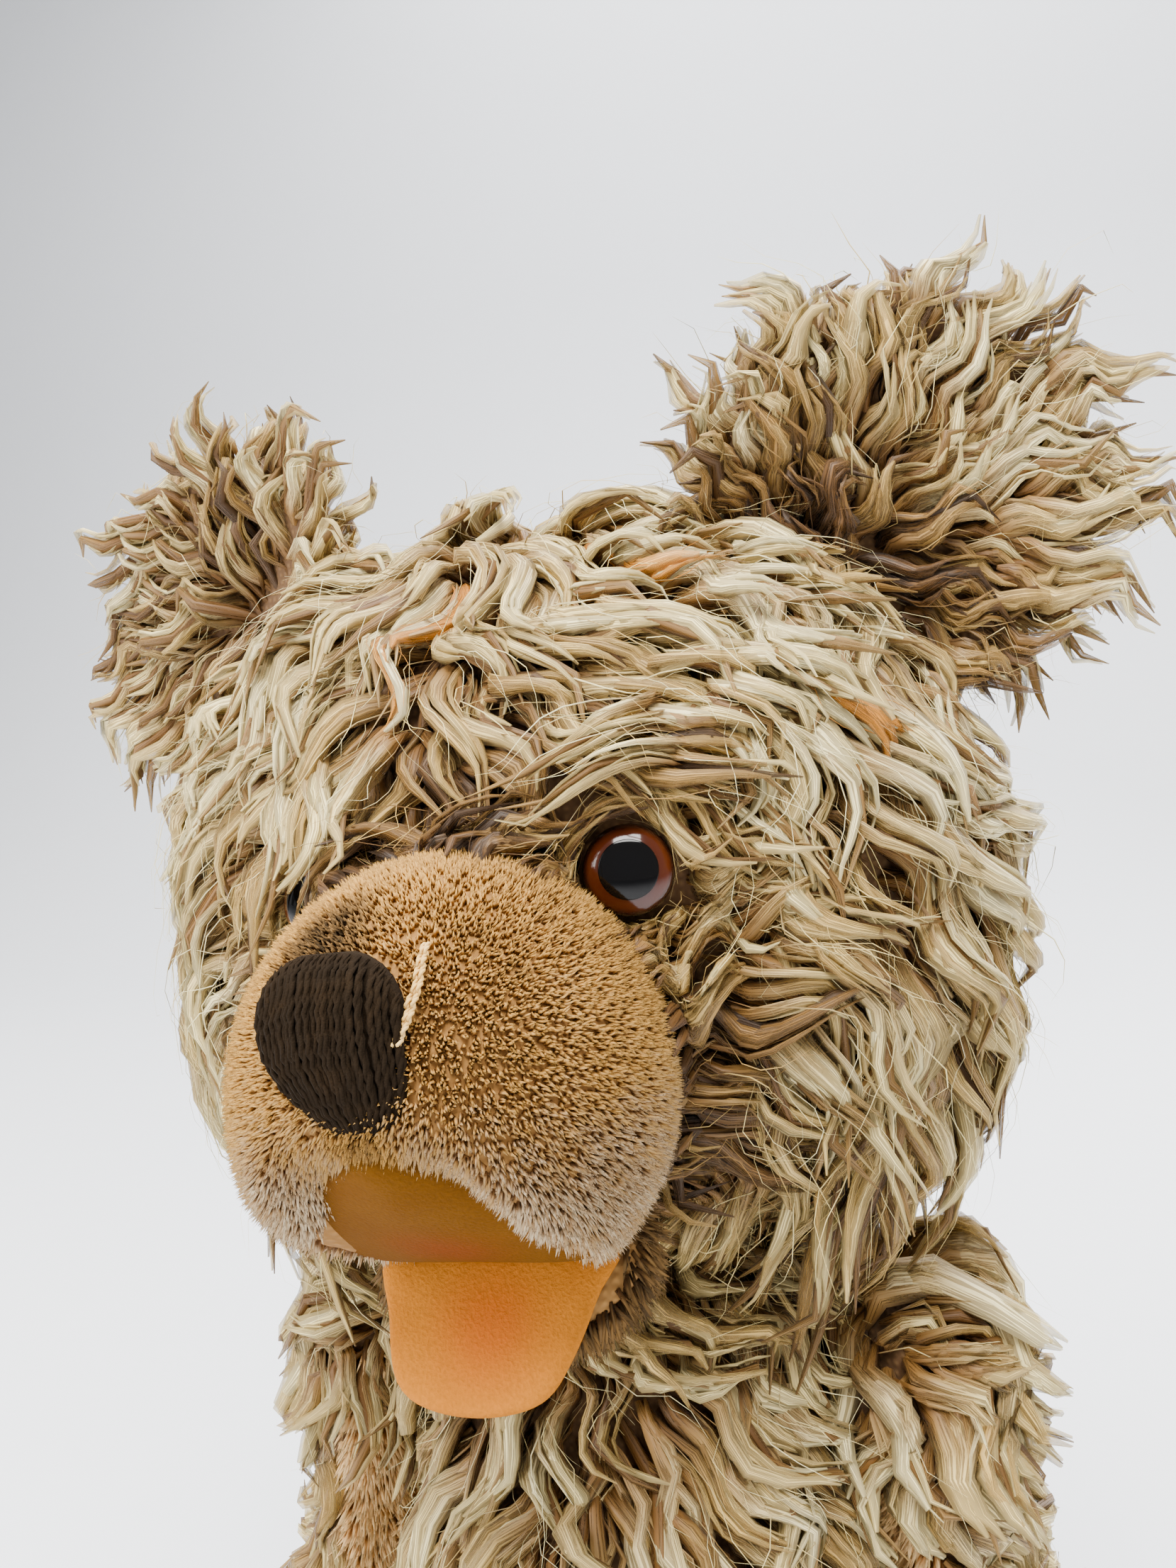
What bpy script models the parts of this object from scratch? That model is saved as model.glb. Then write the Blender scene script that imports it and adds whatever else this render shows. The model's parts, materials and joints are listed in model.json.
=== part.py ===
"""A seated, disc-jointed teddy bear with an open felt mouth, at its real size.

The bear faces -Y, its left is +X and the floor is z = 0. The origin is the middle of the flat seat.
Lengths below are millimetres; MM turns them into metres when a mesh is made. The head's own frame has its
origin at the middle of the skull, and the whole head leans a little about the neck.
"""
import math

import bmesh
import bpy
from mathutils import Matrix, Vector, noise

MM = 0.001
GAP = 0.3
WELL_OUTSIDE = 60
SIDES = {"left": 1, "right": -1}

# Stuffed forms. Their surface is the mean height of the coat, not the cloth under it.
HEAD_CENTRE = Vector((0, 0, 195))
HEAD_HALF = Vector((70, 56, 60))
HEAD_FRONT_HALF = 50
HEAD_DROP = 4
HEAD_LEAN = math.radians(4)
NECK = Vector((0, 2, -58))

MUZZLE_CENTRE = Vector((0, -55, -21))
MUZZLE_HALF = Vector((28.5, 30.5, 29.5))
MUZZLE_BACK = -38
CHIN_CENTRE = Vector((0, -45, -48))
CHIN_HALF = Vector((20, 16, 12.5))

# The open mouth: two felt faces that meet at the crease.
CREASE = Vector((0, -49, -45))
ROOF_DIRECTION = Vector((0, -0.8, 0.6))
FLOOR_DIRECTION = Vector((0, -0.555, -0.832)).normalized()
ROOF_LENGTH = 38
ROOF_HALF_WIDTHS = (19, 8)
FLOOR_LENGTH = 19
FLOOR_HALF_WIDTHS = (17.5, 11)
FELT_START = 1
FELT_THICK = 4.5
FELT_SQUARENESS = (0.75, 0.8)

NOSE_CENTRE = Vector((0, -82.8, -9.2))
NOSE_HALF = Vector((9.2, 2.6, 9.2))
NOSE_TAPER = 0.32
NOSE_BEND_ACROSS = 50
NOSE_BEND_UP = 70

EYE_CENTRE = Vector((23, -44.8, 1.9))
EYE_NORMAL = Vector((0.26, -0.955, 0.14)).normalized()
EYE_RADIUS = 6.0
EYE_BACK = 3.2
EYE_FRONT = 0.9
PUPIL_RADIUS = 3.9
PUPIL_BACK = 1.2
PUPIL_RISE = 1.6
SOCKET_BACK = 3.5
SOCKET_FRONT = 14
SOCKET_FLARE = 2
EYE_WIRE_RADIUS = 0.45
# Place across and place along the eye's normal, for each bend of its wire loop.
EYE_WIRE_BENDS = [(-1.3, -3.6), (-1.3, -8), (-1.1, -11.5), (0, -13), (1.1, -11.5), (1.3, -8), (1.3, -3.6)]
SHANK_HOLE_RADIUS = 2.3
SHANK_HOLE_BACK = 14.5
SHANK_HOLE_FRONT = 3

EAR_CENTRE = Vector((60, 5, 52))
EAR_HALF = Vector((35, 10.5, 34))
EAR_CUP = 6
EAR_SQUARENESS = 0.7
EAR_TURN = math.radians(18)
EAR_LEAN = math.radians(22)

# Shoulder and hip joints: each plane of discs is square to X.
SHOULDER = Vector((36, 6, 108))
SHOULDER_BACK_SWING = math.radians(8)
HIP = Vector((23, -17, 30))
SHOULDER_SEAT_RADIUS = 25
HIP_SEAT_RADIUS = 33
SEAT_RECESS = 30

# Each station of a stuffed form: place along it, middle across, half width and half depth.
TORSO_STATIONS = [
    # height, middle in y, half width, half depth
    (0, -6, 18, 25), (3, -6, 21, 31), (9, -6, 24, 36), (20, -6, 35, 40),
    (36, -5, 38.5, 43), (58, -4, 38.5, 43), (80, -1, 37.5, 40), (100, 2, 37, 36),
    (117, 3, 36, 31), (127, 3, 33, 28), (133, 2, 29, 26), (141, 2, 26, 24)]
TORSO_SQUARENESS = 0.8
# The torso's tufts fade out above the seat, below the neck and beside the limbs.
SEAT_FADE = (2, 12)
NECK_FADE = (127, 8)
ARM_STATIONS = [
    # distance from the shoulder, middle in x, half thickness, half width
    (-19, 11.5, 2, 3), (-16, 11.5, 9.5, 10), (-8, 12, 13.5, 17), (4, 13, 13.5, 20), (20, 14.5, 12.5, 19),
    (38, 18.5, 12, 17), (58, 27, 12.5, 16), (70, 30.5, 12.5, 17), (80, 31.5, 10, 13), (84, 31.5, 3, 4)]
LEG_STATIONS = [
    # distance from the hip, middle in x, half width, middle in z, half height
    (-23, 12, 3, 0, 4), (-20, 12, 10, 0, 14), (-10, 12.5, 14.5, 0, 23), (4, 13, 14.5, -1, 26),
    (30, 14, 14, -4, 25), (60, 15.5, 15, -7, 22), (80, 17, 17, -4, 25), (94, 18, 19, 3, 32),
    (103, 18, 18.5, 5, 33), (109, 18, 15.5, 5, 29)]

ARM_PANEL_CENTRE = Vector((9.4, 0, -41))
ARM_PANEL_HALF = Vector((3.2, 12, 22))
PAW_PAD_CENTRE = Vector((18.2, 0, -73.5))
PAW_PAD_HALF = Vector((2.8, 9, 9))
ARM_SPLAY = 0.18
FOOT_PAD_SHARE = 0.84
FOOT_PAD_THICK = 2
TUFTED_SIDE = 0.2
FOOT_TUFT_END = -98
FLOOR_CLEARANCE = 0.3

# Hidden fittings of one joint.
COVER_THICK = 2.5
DISC_THICK = 2.2
WASHER_THICK = 0.8
WASHER_RADIUS = 5.0
PIN_HOLE_RADIUS = 1.8
PLATE_SIDES = 12
HOLE_SIDES = 6
PIN_WIRE_RADIUS = 0.55
PIN_LEG_OFFSET = 0.75
PIN_EYE_RADIUS = 1.8
PIN_EYE_TURNS = (-40, 25, 90)
PIN_SLACK = 0.8
# Place across and rise past the washer, for each bend of the pin's curled foot.
PIN_FOOT = [(4.0, -0.4), (2.2, -1.3), (PIN_LEG_OFFSET, 0)]
BORE_BEFORE = 2
BORE_AFTER = 2.4
POCKET_DEPTH = 12.0
NECK_DISC_RADIUS = 17
SHOULDER_DISC_RADIUS = 13
HIP_DISC_RADIUS = 15

# Combed tufts on the long coat.
TUFT_CELL = 17
TUFT_STRETCH = 1.6
TUFT_STEEPNESS = 1.6
TUFT_MEAN = 0.8
TUFT_LIFT = 0.5
TUFT_SINK = 0.4
HEAD_TUFT = 7.0
EAR_TUFT = 5.0
TORSO_TUFT = 5.5
LIMB_TUFT = 3.5

COLOURS = {
    "long_coat": ((0.66, 0.60, 0.48), 0.9, 0.0),
    "short_coat": ((0.62, 0.43, 0.25), 0.95, 0.0),
    "inner_arm_coat": ((0.74, 0.55, 0.33), 0.95, 0.0),
    "mouth_felt": ((0.83, 0.50, 0.20), 0.95, 0.0),
    "pad_felt": ((0.76, 0.56, 0.34), 0.95, 0.0),
    "nose_thread": ((0.05, 0.035, 0.03), 0.7, 0.0),
    "amber_glass": ((0.16, 0.06, 0.02), 0.08, 0.0),
    "black_glass": ((0.01, 0.01, 0.012), 0.05, 0.0),
    "steel": ((0.5, 0.5, 0.5), 0.4, 1.0),
    "fibre_board": ((0.35, 0.25, 0.16), 0.85, 0.0),
}


def clear_scene():
    """Take every object out of the open file."""
    for old in list(bpy.data.objects):
        bpy.data.objects.remove(old, do_unlink=True)


def new_collection(name):
    """A collection of this name under the scene."""
    made = bpy.data.collections.new(name)
    bpy.context.scene.collection.children.link(made)
    return made


def make_material(name, finish):
    """A Principled material of one finish, for one part."""
    colour, roughness, metallic = COLOURS[finish]
    made = bpy.data.materials.new(name)
    made.use_nodes = True
    shader = made.node_tree.nodes["Principled BSDF"]
    shader.inputs["Base Color"].default_value = (*colour, 1)
    shader.inputs["Roughness"].default_value = roughness
    shader.inputs["Metallic"].default_value = metallic
    made.diffuse_color = (*colour, 1)
    return made


def place(obj, collection, parent):
    """Link an object to its collection and hang it on its joint's empty."""
    collection.objects.link(obj)
    obj.parent = parent
    return obj


def mesh_object(name, form, parent, finish=None):
    """Turn a bmesh in millimetres into a part, or into a cutter where it has no finish."""
    bmesh.ops.recalc_face_normals(form, faces=form.faces)
    if form.calc_volume(signed=True) < 0:
        bmesh.ops.reverse_faces(form, faces=form.faces)
    bmesh.ops.triangulate(form, faces=form.faces, quad_method="FIXED")
    bmesh.ops.scale(form, vec=(MM, MM, MM), verts=form.verts)
    mesh = bpy.data.meshes.new(name)
    form.to_mesh(mesh)
    form.free()
    obj = bpy.data.objects.new(name, mesh)
    if finish is None:
        obj.hide_render = True
        obj.display_type = "WIRE"
        return place(obj, CUTTERS, parent)
    mesh.shade_smooth()
    mesh.set_sharp_from_angle(angle=math.radians(40))
    mesh.materials.append(make_material(name, finish))
    return place(obj, PARTS, parent)


def cut(target, *cutters):
    """Take cutters away from a part."""
    for cutter in cutters:
        modifier = target.modifiers.new(cutter.name, "BOOLEAN")
        modifier.operation = "DIFFERENCE"
        modifier.solver = "EXACT"
        modifier.object = cutter


def ball(segments, rings, shape):
    """A UV sphere, or an icosphere of so many subdivisions where it has no rings, moved by a shape function."""
    form = bmesh.new()
    if rings:
        bmesh.ops.create_uvsphere(form, u_segments=segments, v_segments=rings, radius=1)
    else:
        bmesh.ops.create_icosphere(form, subdivisions=segments, radius=1)
    for vert in form.verts:
        vert.co = shape(vert.co.normalized())
    return form


def rod(start, end, radius, segments, end_radius=None):
    """A cylinder or cone frustum between two points."""
    form = bmesh.new()
    axis = end - start
    turn = axis.to_track_quat("Z", "Y").to_matrix().to_4x4()
    bmesh.ops.create_cone(form, cap_ends=True, segments=segments, radius1=radius,
                          radius2=radius if end_radius is None else end_radius, depth=axis.length,
                          matrix=Matrix.Translation((start + end) / 2) @ turn)
    return form


def half_space(axis, start, side, frame=Matrix.Identity(4)):
    """A large block that fills one side of a plane, square to an axis of the frame."""
    form = bmesh.new()
    middle = Vector((0, 0, 0))
    setattr(middle, axis, start + side * WELL_OUTSIDE)
    bmesh.ops.create_cube(form, size=2 * WELL_OUTSIDE, matrix=frame @ Matrix.Translation(middle))
    return form


def smooth_stations(stations, count):
    """Stations at even steps on a Catmull-Rom curve through the given ones."""
    spans = len(stations) - 1
    made = []
    for index in range(count):
        place_on_curve = index * spans / (count - 1)
        first = min(int(place_on_curve), spans - 1)
        part = place_on_curve - first
        knots = [stations[max(0, min(spans, first + step))] for step in (-1, 0, 1, 2)]
        made.append(tuple(
            0.5 * (2 * b + (c - a) * part + (2 * a - 5 * b + 4 * c - d) * part ** 2
                   + (3 * b - a - 3 * c + d) * part ** 3)
            for a, b, c, d in zip(*knots)))
    return made


def loft(stations, count, segments, point_at, relief):
    """A closed form through elliptical stations: point_at gives a ring's point from an angle."""
    form = bmesh.new()
    rings = []
    for station in smooth_stations(stations, count):
        ring = []
        for step in range(segments):
            angle = math.tau * step / segments
            point = point_at(station, angle)
            outward = (point - point_at(station, angle + math.pi)).normalized()
            ring.append(form.verts.new(relief(point, outward)))
        rings.append(ring)
    for lower, upper in zip(rings, rings[1:]):
        for step in range(segments):
            after = (step + 1) % segments
            form.faces.new((lower[step], lower[after], upper[after], upper[step]))
    form.faces.new(rings[0])
    form.faces.new(rings[-1])
    return form


def tuft_height(point, reach):
    """Height of the coat's tufts at a point: cushions that stand up at their lower end."""
    spot = Vector((point.x, point.y, point.z / TUFT_STRETCH)) / TUFT_CELL
    distances, centres = noise.voronoi(spot)
    cushion = min(1.0, TUFT_STEEPNESS * (distances[1] - distances[0]))
    lift = max(-TUFT_LIFT, min(TUFT_LIFT, centres[0].z - spot.z))
    return reach * (cushion * (TUFT_MEAN + lift) - TUFT_SINK)


def tufted(point, outward, reach):
    """A point of a stuffed form, moved out by its tuft."""
    return point + outward * tuft_height(point, reach)


def head_point(direction, grow=0.0):
    """A point of the skull's coat, wide at the cheeks and flatter in front."""
    half_depth = HEAD_FRONT_HALF if direction.y < 0 else HEAD_HALF.y
    point = Vector((direction.x * HEAD_HALF.x, direction.y * half_depth, direction.z * HEAD_HALF.z - HEAD_DROP))
    return tufted(point, direction, HEAD_TUFT) + direction * grow - NECK


def make_ball_part(name, centre, half, segments, rings, parent, finish=None):
    """An ellipsoid in the head's frame."""
    form = ball(segments, rings, lambda d: centre + Vector((d.x * half.x, d.y * half.y, d.z * half.z)) - NECK)
    return mesh_object(name, form, parent, finish)


def felt_frame(direction, outward_sign):
    """The frame of one felt face: X across, Y away from the crease, Z out of the felt."""
    across = Vector((1, 0, 0))
    outward = across.cross(direction) * outward_sign
    columns = Matrix((across, direction, outward)).transposed().to_4x4()
    return Matrix.Translation(CREASE - NECK) @ columns


def squared(value, power):
    """A value between -1 and 1, moved outward so that a round outline turns squarer."""
    return math.copysign(abs(value) ** power, value)


def make_felt(name, frame, length, half_widths, parent):
    """A felt cushion with a flat back, narrower at its far end."""
    near_half, far_half = half_widths
    power_across, power_along = FELT_SQUARENESS

    def shape(direction):
        """A point of the cushion from a direction."""
        part = (squared(direction.y, power_along) + 1) / 2
        half = near_half + (far_half - near_half) * part
        rise = max(direction.z, 0.0) * FELT_THICK
        across = squared(direction.x, power_across) * half
        return frame @ Vector((across, FELT_START + length * part, GAP + rise))
    return mesh_object(name, ball(16, 8, shape), parent, "mouth_felt")


def nose_point(direction, grow=0.0):
    """A point of the stitched nose: broad on top, pointed below, bent round the muzzle."""
    half = NOSE_HALF + Vector((grow, grow, grow))
    height = direction.z * half.z
    width = direction.x * half.x * (1 + NOSE_TAPER * direction.z)
    bend = width ** 2 / NOSE_BEND_ACROSS + height ** 2 / NOSE_BEND_UP
    return NOSE_CENTRE + Vector((width, direction.y * half.y + bend, height)) - NECK


def mirrored(vector, side):
    """The vector on the bear's left, or its mirror image on the right."""
    return Vector((vector.x * side, vector.y, vector.z))


def make_eye(side_name, side, neck_axis):
    """One glass eye with its pupil and wire loop; gives the cutters for its socket."""
    centre = mirrored(EYE_CENTRE, side) - NECK
    normal = mirrored(EYE_NORMAL, side)
    turn = normal.to_track_quat("Z", "Y").to_matrix().to_4x4()
    frame = Matrix.Translation(centre) @ turn

    def iris(direction):
        """A point of the amber glass from a direction."""
        depth = EYE_FRONT if direction.z > 0 else EYE_BACK
        return frame @ Vector((direction.x * EYE_RADIUS, direction.y * EYE_RADIUS, direction.z * depth))

    def pupil(direction):
        """A point of the flat-backed pupil from a direction."""
        return frame @ Vector((direction.x * PUPIL_RADIUS, direction.y * PUPIL_RADIUS,
                               PUPIL_BACK + PUPIL_RISE * max(direction.z, 0.0)))
    mesh_object(f"eye_{side_name}", ball(14, 6, iris), neck_axis, "amber_glass")
    mesh_object(f"pupil_{side_name}", ball(12, 6, pupil), neck_axis, "black_glass")
    wire_tube(f"eye_wire_{side_name}", [frame @ Vector((x, 0, z)) for x, z in EYE_WIRE_BENDS],
              EYE_WIRE_RADIUS, neck_axis)

    socket = rod(centre - normal * SOCKET_BACK, centre + normal * SOCKET_FRONT,
                 EYE_RADIUS + GAP, 14, EYE_RADIUS + SOCKET_FLARE)
    hole = rod(centre - normal * SHANK_HOLE_BACK, centre - normal * SHANK_HOLE_FRONT, SHANK_HOLE_RADIUS, 8)
    return (mesh_object(f"socket_{side_name}_cutter", socket, neck_axis),
            mesh_object(f"shank_{side_name}_cutter", hole, neck_axis))


def wire_tube(name, points, radius, parent):
    """A bent steel wire as a filled curve."""
    curve = bpy.data.curves.new(name, "CURVE")
    curve.dimensions = "3D"
    curve.bevel_depth = radius * MM
    curve.bevel_resolution = 0
    curve.use_fill_caps = True
    line = curve.splines.new("POLY")
    line.points.add(len(points) - 1)
    for knot, point in zip(line.points, points):
        knot.co = (*(point * MM), 1)
    curve.materials.append(make_material(name, "steel"))
    return place(bpy.data.objects.new(name, curve), PARTS, parent)


def make_ear(side_name, side, neck_axis, head_cutter):
    """One cupped ear, trimmed where it meets the head."""
    turn = Matrix.Rotation(EAR_TURN * side, 3, "Z") @ Matrix.Rotation(EAR_LEAN * side, 3, "Y")
    centre = mirrored(EAR_CENTRE, side)

    def shape(direction):
        """A point of the ear from a direction: a thick disc, cupped forward at its rim."""
        rim = direction.x ** 2 + direction.z ** 2
        depth = squared(direction.y, EAR_SQUARENESS) * EAR_HALF.y
        local = Vector((direction.x * EAR_HALF.x, depth - EAR_CUP * (rim - 0.5), direction.z * EAR_HALF.z))
        return tufted(centre + turn @ local, turn @ direction, EAR_TUFT) - NECK
    ear = mesh_object(f"ear_{side_name}", ball(24, 12, shape), neck_axis, "long_coat")
    cut(ear, head_cutter)


def cotter_points(frame):
    """A wire bent double: curled feet on the body side, a long shank and an eye on the limb side."""
    reach = COVER_THICK + DISC_THICK + WASHER_THICK + 3 * GAP + PIN_SLACK
    foot = [(across, rise - reach) for across, rise in PIN_FOOT]
    eye_height = reach + PIN_EYE_RADIUS
    eye = [(PIN_EYE_RADIUS * math.cos(angle), eye_height + PIN_EYE_RADIUS * math.sin(angle))
           for angle in map(math.radians, PIN_EYE_TURNS)]
    half = foot + [(PIN_LEG_OFFSET, reach)] + eye
    outline = half + [(-across, along) for across, along in reversed(half[:-1])]
    return [frame @ Vector((across, 0, along)) for across, along in outline]


def make_joint(name, limb_name, centre, axis, radius, body_parent, limb_parent, limb_origin):
    """The discs, washers and cotter pin of one joint; gives the pockets for body and limb."""
    turn = axis.to_track_quat("Z", "Y").to_matrix().to_4x4()
    world = Matrix.Translation(centre) @ turn
    local = Matrix.Translation(centre - limb_origin) @ turn
    disc_near = COVER_THICK + GAP
    disc_far = disc_near + DISC_THICK
    washer_near = disc_far + GAP
    washer_far = washer_near + WASHER_THICK

    def plate(plate_name, frame, sign, near, far, plate_radius, parent, finish):
        """A round plate with the pin's hole through it."""
        def ring_point(distance):
            """The point of the axis this far from the joint's plane."""
            return frame @ Vector((0, 0, sign * distance))
        made = mesh_object(plate_name, rod(ring_point(near), ring_point(far), plate_radius, PLATE_SIDES),
                           parent, finish)
        hole = mesh_object(f"{plate_name}_cutter", rod(ring_point(near - 1), ring_point(far + 1),
                           PIN_HOLE_RADIUS, HOLE_SIDES), parent)
        cut(made, hole)

    cutters = []
    for part, frame, sign, parent in ((limb_name, local, 1, limb_parent), ("body", world, -1, body_parent)):
        plate(f"{name}_{part}_disc", frame, sign, disc_near, disc_far, radius, parent, "fibre_board")
        plate(f"{name}_{part}_washer", frame, sign, washer_near, washer_far, WASHER_RADIUS, parent, "steel")
        start, pocket, end = (frame @ Vector((0, 0, sign * distance))
                              for distance in (-BORE_BEFORE, COVER_THICK, POCKET_DEPTH))
        pocket_form = rod(pocket, end, (radius + GAP) / math.cos(math.pi / PLATE_SIDES), PLATE_SIDES)
        bore_end = frame @ Vector((0, 0, sign * (COVER_THICK + BORE_AFTER)))
        bore_form = rod(start, bore_end, PIN_HOLE_RADIUS, HOLE_SIDES)
        cutters.append((mesh_object(f"{name}_{part}_pocket_cutter", pocket_form, parent),
                        mesh_object(f"{name}_{part}_bore_cutter", bore_form, parent)))
    wire_tube(f"{name}_cotter_pin", cotter_points(local), PIN_WIRE_RADIUS, limb_parent)
    return cutters


def joint_axis(name, location, rotation=(0, 0, 0)):
    """An empty on a joint's axis."""
    empty = bpy.data.objects.new(name, None)
    empty.location = location * MM
    empty.rotation_euler = rotation
    PARTS.objects.link(empty)
    return empty


def make_head(neck_axis):
    """The stuffed head with its muzzle, open mouth, nose, eyes and ears."""
    head = mesh_object("head", ball(4, 0, head_point), neck_axis, "long_coat")
    head_cutter = mesh_object("head_cutter", ball(4, 0, lambda d: head_point(d, GAP)), neck_axis)
    grow = Vector((GAP, GAP, GAP))

    muzzle = make_ball_part("muzzle", MUZZLE_CENTRE, MUZZLE_HALF, 24, 14, neck_axis, "short_coat")
    muzzle_cutter = make_ball_part("muzzle_cutter", MUZZLE_CENTRE, MUZZLE_HALF + grow, 24, 14, neck_axis)
    chin = make_ball_part("chin", CHIN_CENTRE, CHIN_HALF, 16, 10, neck_axis, "short_coat")
    chin_cutter = make_ball_part("chin_cutter", CHIN_CENTRE, CHIN_HALF + grow, 16, 10, neck_axis)

    roof_frame = felt_frame(ROOF_DIRECTION, 1)
    floor_frame = felt_frame(FLOOR_DIRECTION, -1)
    for target, offset in ((muzzle, 0), (muzzle_cutter, GAP)):
        mouth = mesh_object(f"{target.name}_roof_plane", half_space("z", offset, 1, roof_frame), neck_axis)
        back_frame = Matrix.Translation(Vector((0, MUZZLE_BACK + offset, 0)) - NECK)
        back = mesh_object(f"{target.name}_back_plane", half_space("y", 0, 1, back_frame), neck_axis)
        cut(target, mouth, back)
    cut(chin, mesh_object("chin_plane", half_space("z", 0, 1, floor_frame), neck_axis), muzzle_cutter)
    make_felt("mouth_roof_felt", roof_frame, ROOF_LENGTH, ROOF_HALF_WIDTHS, neck_axis)
    make_felt("mouth_floor_felt", floor_frame, FLOOR_LENGTH, FLOOR_HALF_WIDTHS, neck_axis)

    mesh_object("nose_stitching", ball(14, 8, nose_point), neck_axis, "nose_thread")
    nose_cutter = mesh_object("nose_cutter", ball(14, 8, lambda d: nose_point(d, GAP)), neck_axis)
    cut(muzzle, nose_cutter)

    neck_plane = mesh_object("neck_plane", half_space("z", GAP / 2, -1), neck_axis)
    cut(head, neck_plane, muzzle_cutter, chin_cutter)
    for side_name, side in SIDES.items():
        socket, hole = make_eye(side_name, side, neck_axis)
        cut(head, socket, hole)
        cut(muzzle, socket, hole)
        make_ear(side_name, side, neck_axis, head_cutter)
    return head


def make_torso():
    """The stuffed torso on its flat seat, with flat seats for the neck and the four limbs."""
    def point_at(station, angle):
        """A point of the torso's ring at a station, before its tufts."""
        height, middle, half_width, half_depth = station
        across = squared(math.cos(angle), TORSO_SQUARENESS)
        deep = squared(math.sin(angle), TORSO_SQUARENESS)
        return Vector((half_width * across, middle + half_depth * deep, height))

    def relief(point, outward):
        """The point moved out by its tuft, which fades at the seat, the neck and the sides."""
        above_seat = (point.z - SEAT_FADE[0]) / SEAT_FADE[1]
        below_neck = (NECK_FADE[0] - point.z) / NECK_FADE[1]
        fade = max(0.0, min(1.0, above_seat, below_neck))
        return tufted(point, outward, TORSO_TUFT * fade * (1 - abs(outward.x) ** 3))
    torso = mesh_object("torso", loft(TORSO_STATIONS, 19, 22, point_at, relief), None, "long_coat")
    lean = Matrix.Translation(HEAD_CENTRE + NECK) @ Matrix.Rotation(-HEAD_LEAN, 4, "Y")
    cut(torso, mesh_object("torso_neck_plane", half_space("z", -GAP / 2, 1, lean), None))
    for name, centre, radius in (("shoulder", SHOULDER, SHOULDER_SEAT_RADIUS), ("hip", HIP, HIP_SEAT_RADIUS)):
        for side_name, side in SIDES.items():
            start = mirrored(centre, side) - Vector((side * GAP / 2, 0, 0))
            recess = rod(start, start + Vector((side * SEAT_RECESS, 0, 0)), radius, 20)
            cut(torso, mesh_object(f"torso_{name}_{side_name}_plane", recess, None))
    return torso


def make_arm(side_name, side, shoulder_axis):
    """One arm that hangs beside the torso, with its short-pile inner side and felt paw pad."""
    swing = Matrix.Rotation(SHOULDER_BACK_SWING, 3, "X")

    def point_at(station, angle):
        """A point of the arm's ring at a station, before its tufts."""
        along, middle, half_thick, half_width = station
        local = Vector((middle + half_thick * math.cos(angle), half_width * math.sin(angle), -along))
        return mirrored(swing @ local, side)

    def relief(point, outward):
        """The point moved out by its tuft, on the outer side of the arm only."""
        return tufted(point, outward, LIMB_TUFT if outward.x * side > TUFTED_SIDE else 0)
    form = loft(ARM_STATIONS, 15, 16, point_at, relief)
    arm = mesh_object(f"arm_{side_name}", form, shoulder_axis, "long_coat")
    flat = half_space("x", side * GAP / 2, -side)
    cut(arm, mesh_object(f"arm_{side_name}_plane", flat, shoulder_axis))

    def lens(centre, half, grow=0.0):
        """A lens on the arm's inner side, which slopes outward with the arm."""
        def shape(direction):
            """A point of the lens from a direction."""
            reach = [part * (extent + grow) for part, extent in zip(direction, half)]
            slope = Vector((-ARM_SPLAY * direction.z * half.z, 0, 0))
            return mirrored(swing @ (centre + Vector(reach) + slope), side)
        return ball(12, 6, shape)
    for name, finish, centre, half in (("arm_inner", "inner_arm_coat", ARM_PANEL_CENTRE, ARM_PANEL_HALF),
                                       ("paw_pad", "pad_felt", PAW_PAD_CENTRE, PAW_PAD_HALF)):
        mesh_object(f"{name}_{side_name}", lens(centre, half), shoulder_axis, finish)
        cut(arm, mesh_object(f"{name}_{side_name}_cutter", lens(centre, half, GAP), shoulder_axis))
    return arm


def make_leg(side_name, side, hip_axis):
    """One leg that lies forward on the floor, its foot standing up, with a felt sole."""
    def point_at(station, angle):
        """A point of the leg's ring at a station, before its tufts."""
        along, middle, half_width, height, half_height = station
        return Vector((side * (middle + half_width * math.cos(angle)), -along,
                       height + half_height * math.sin(angle)))

    def relief(point, outward):
        """The point moved out by its tuft, on the outer side of the leg only, and kept off the floor."""
        has_tuft = outward.x * side > TUFTED_SIDE and point.y > FOOT_TUFT_END
        raised = tufted(point, outward, LIMB_TUFT if has_tuft else 0)
        raised.z = max(raised.z, FLOOR_CLEARANCE - HIP.z)
        return raised
    leg = mesh_object(f"leg_{side_name}", loft(LEG_STATIONS, 15, 14, point_at, relief), hip_axis, "long_coat")
    flat = half_space("x", side * GAP / 2, -side)
    cut(leg, mesh_object(f"leg_{side_name}_plane", flat, hip_axis))

    along, middle, half_width, height, half_height = LEG_STATIONS[-1]
    sole = Vector((side * middle, -along, height))
    pad = rod(sole - Vector((0, GAP, 0)), sole - Vector((0, FOOT_PAD_THICK + GAP, 0)), 1, 20)
    bmesh.ops.scale(pad, vec=(half_width * FOOT_PAD_SHARE, 1, half_height * FOOT_PAD_SHARE), verts=pad.verts,
                    space=Matrix.Translation(-sole))
    mesh_object(f"foot_pad_{side_name}", pad, hip_axis, "pad_felt")
    return leg


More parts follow.
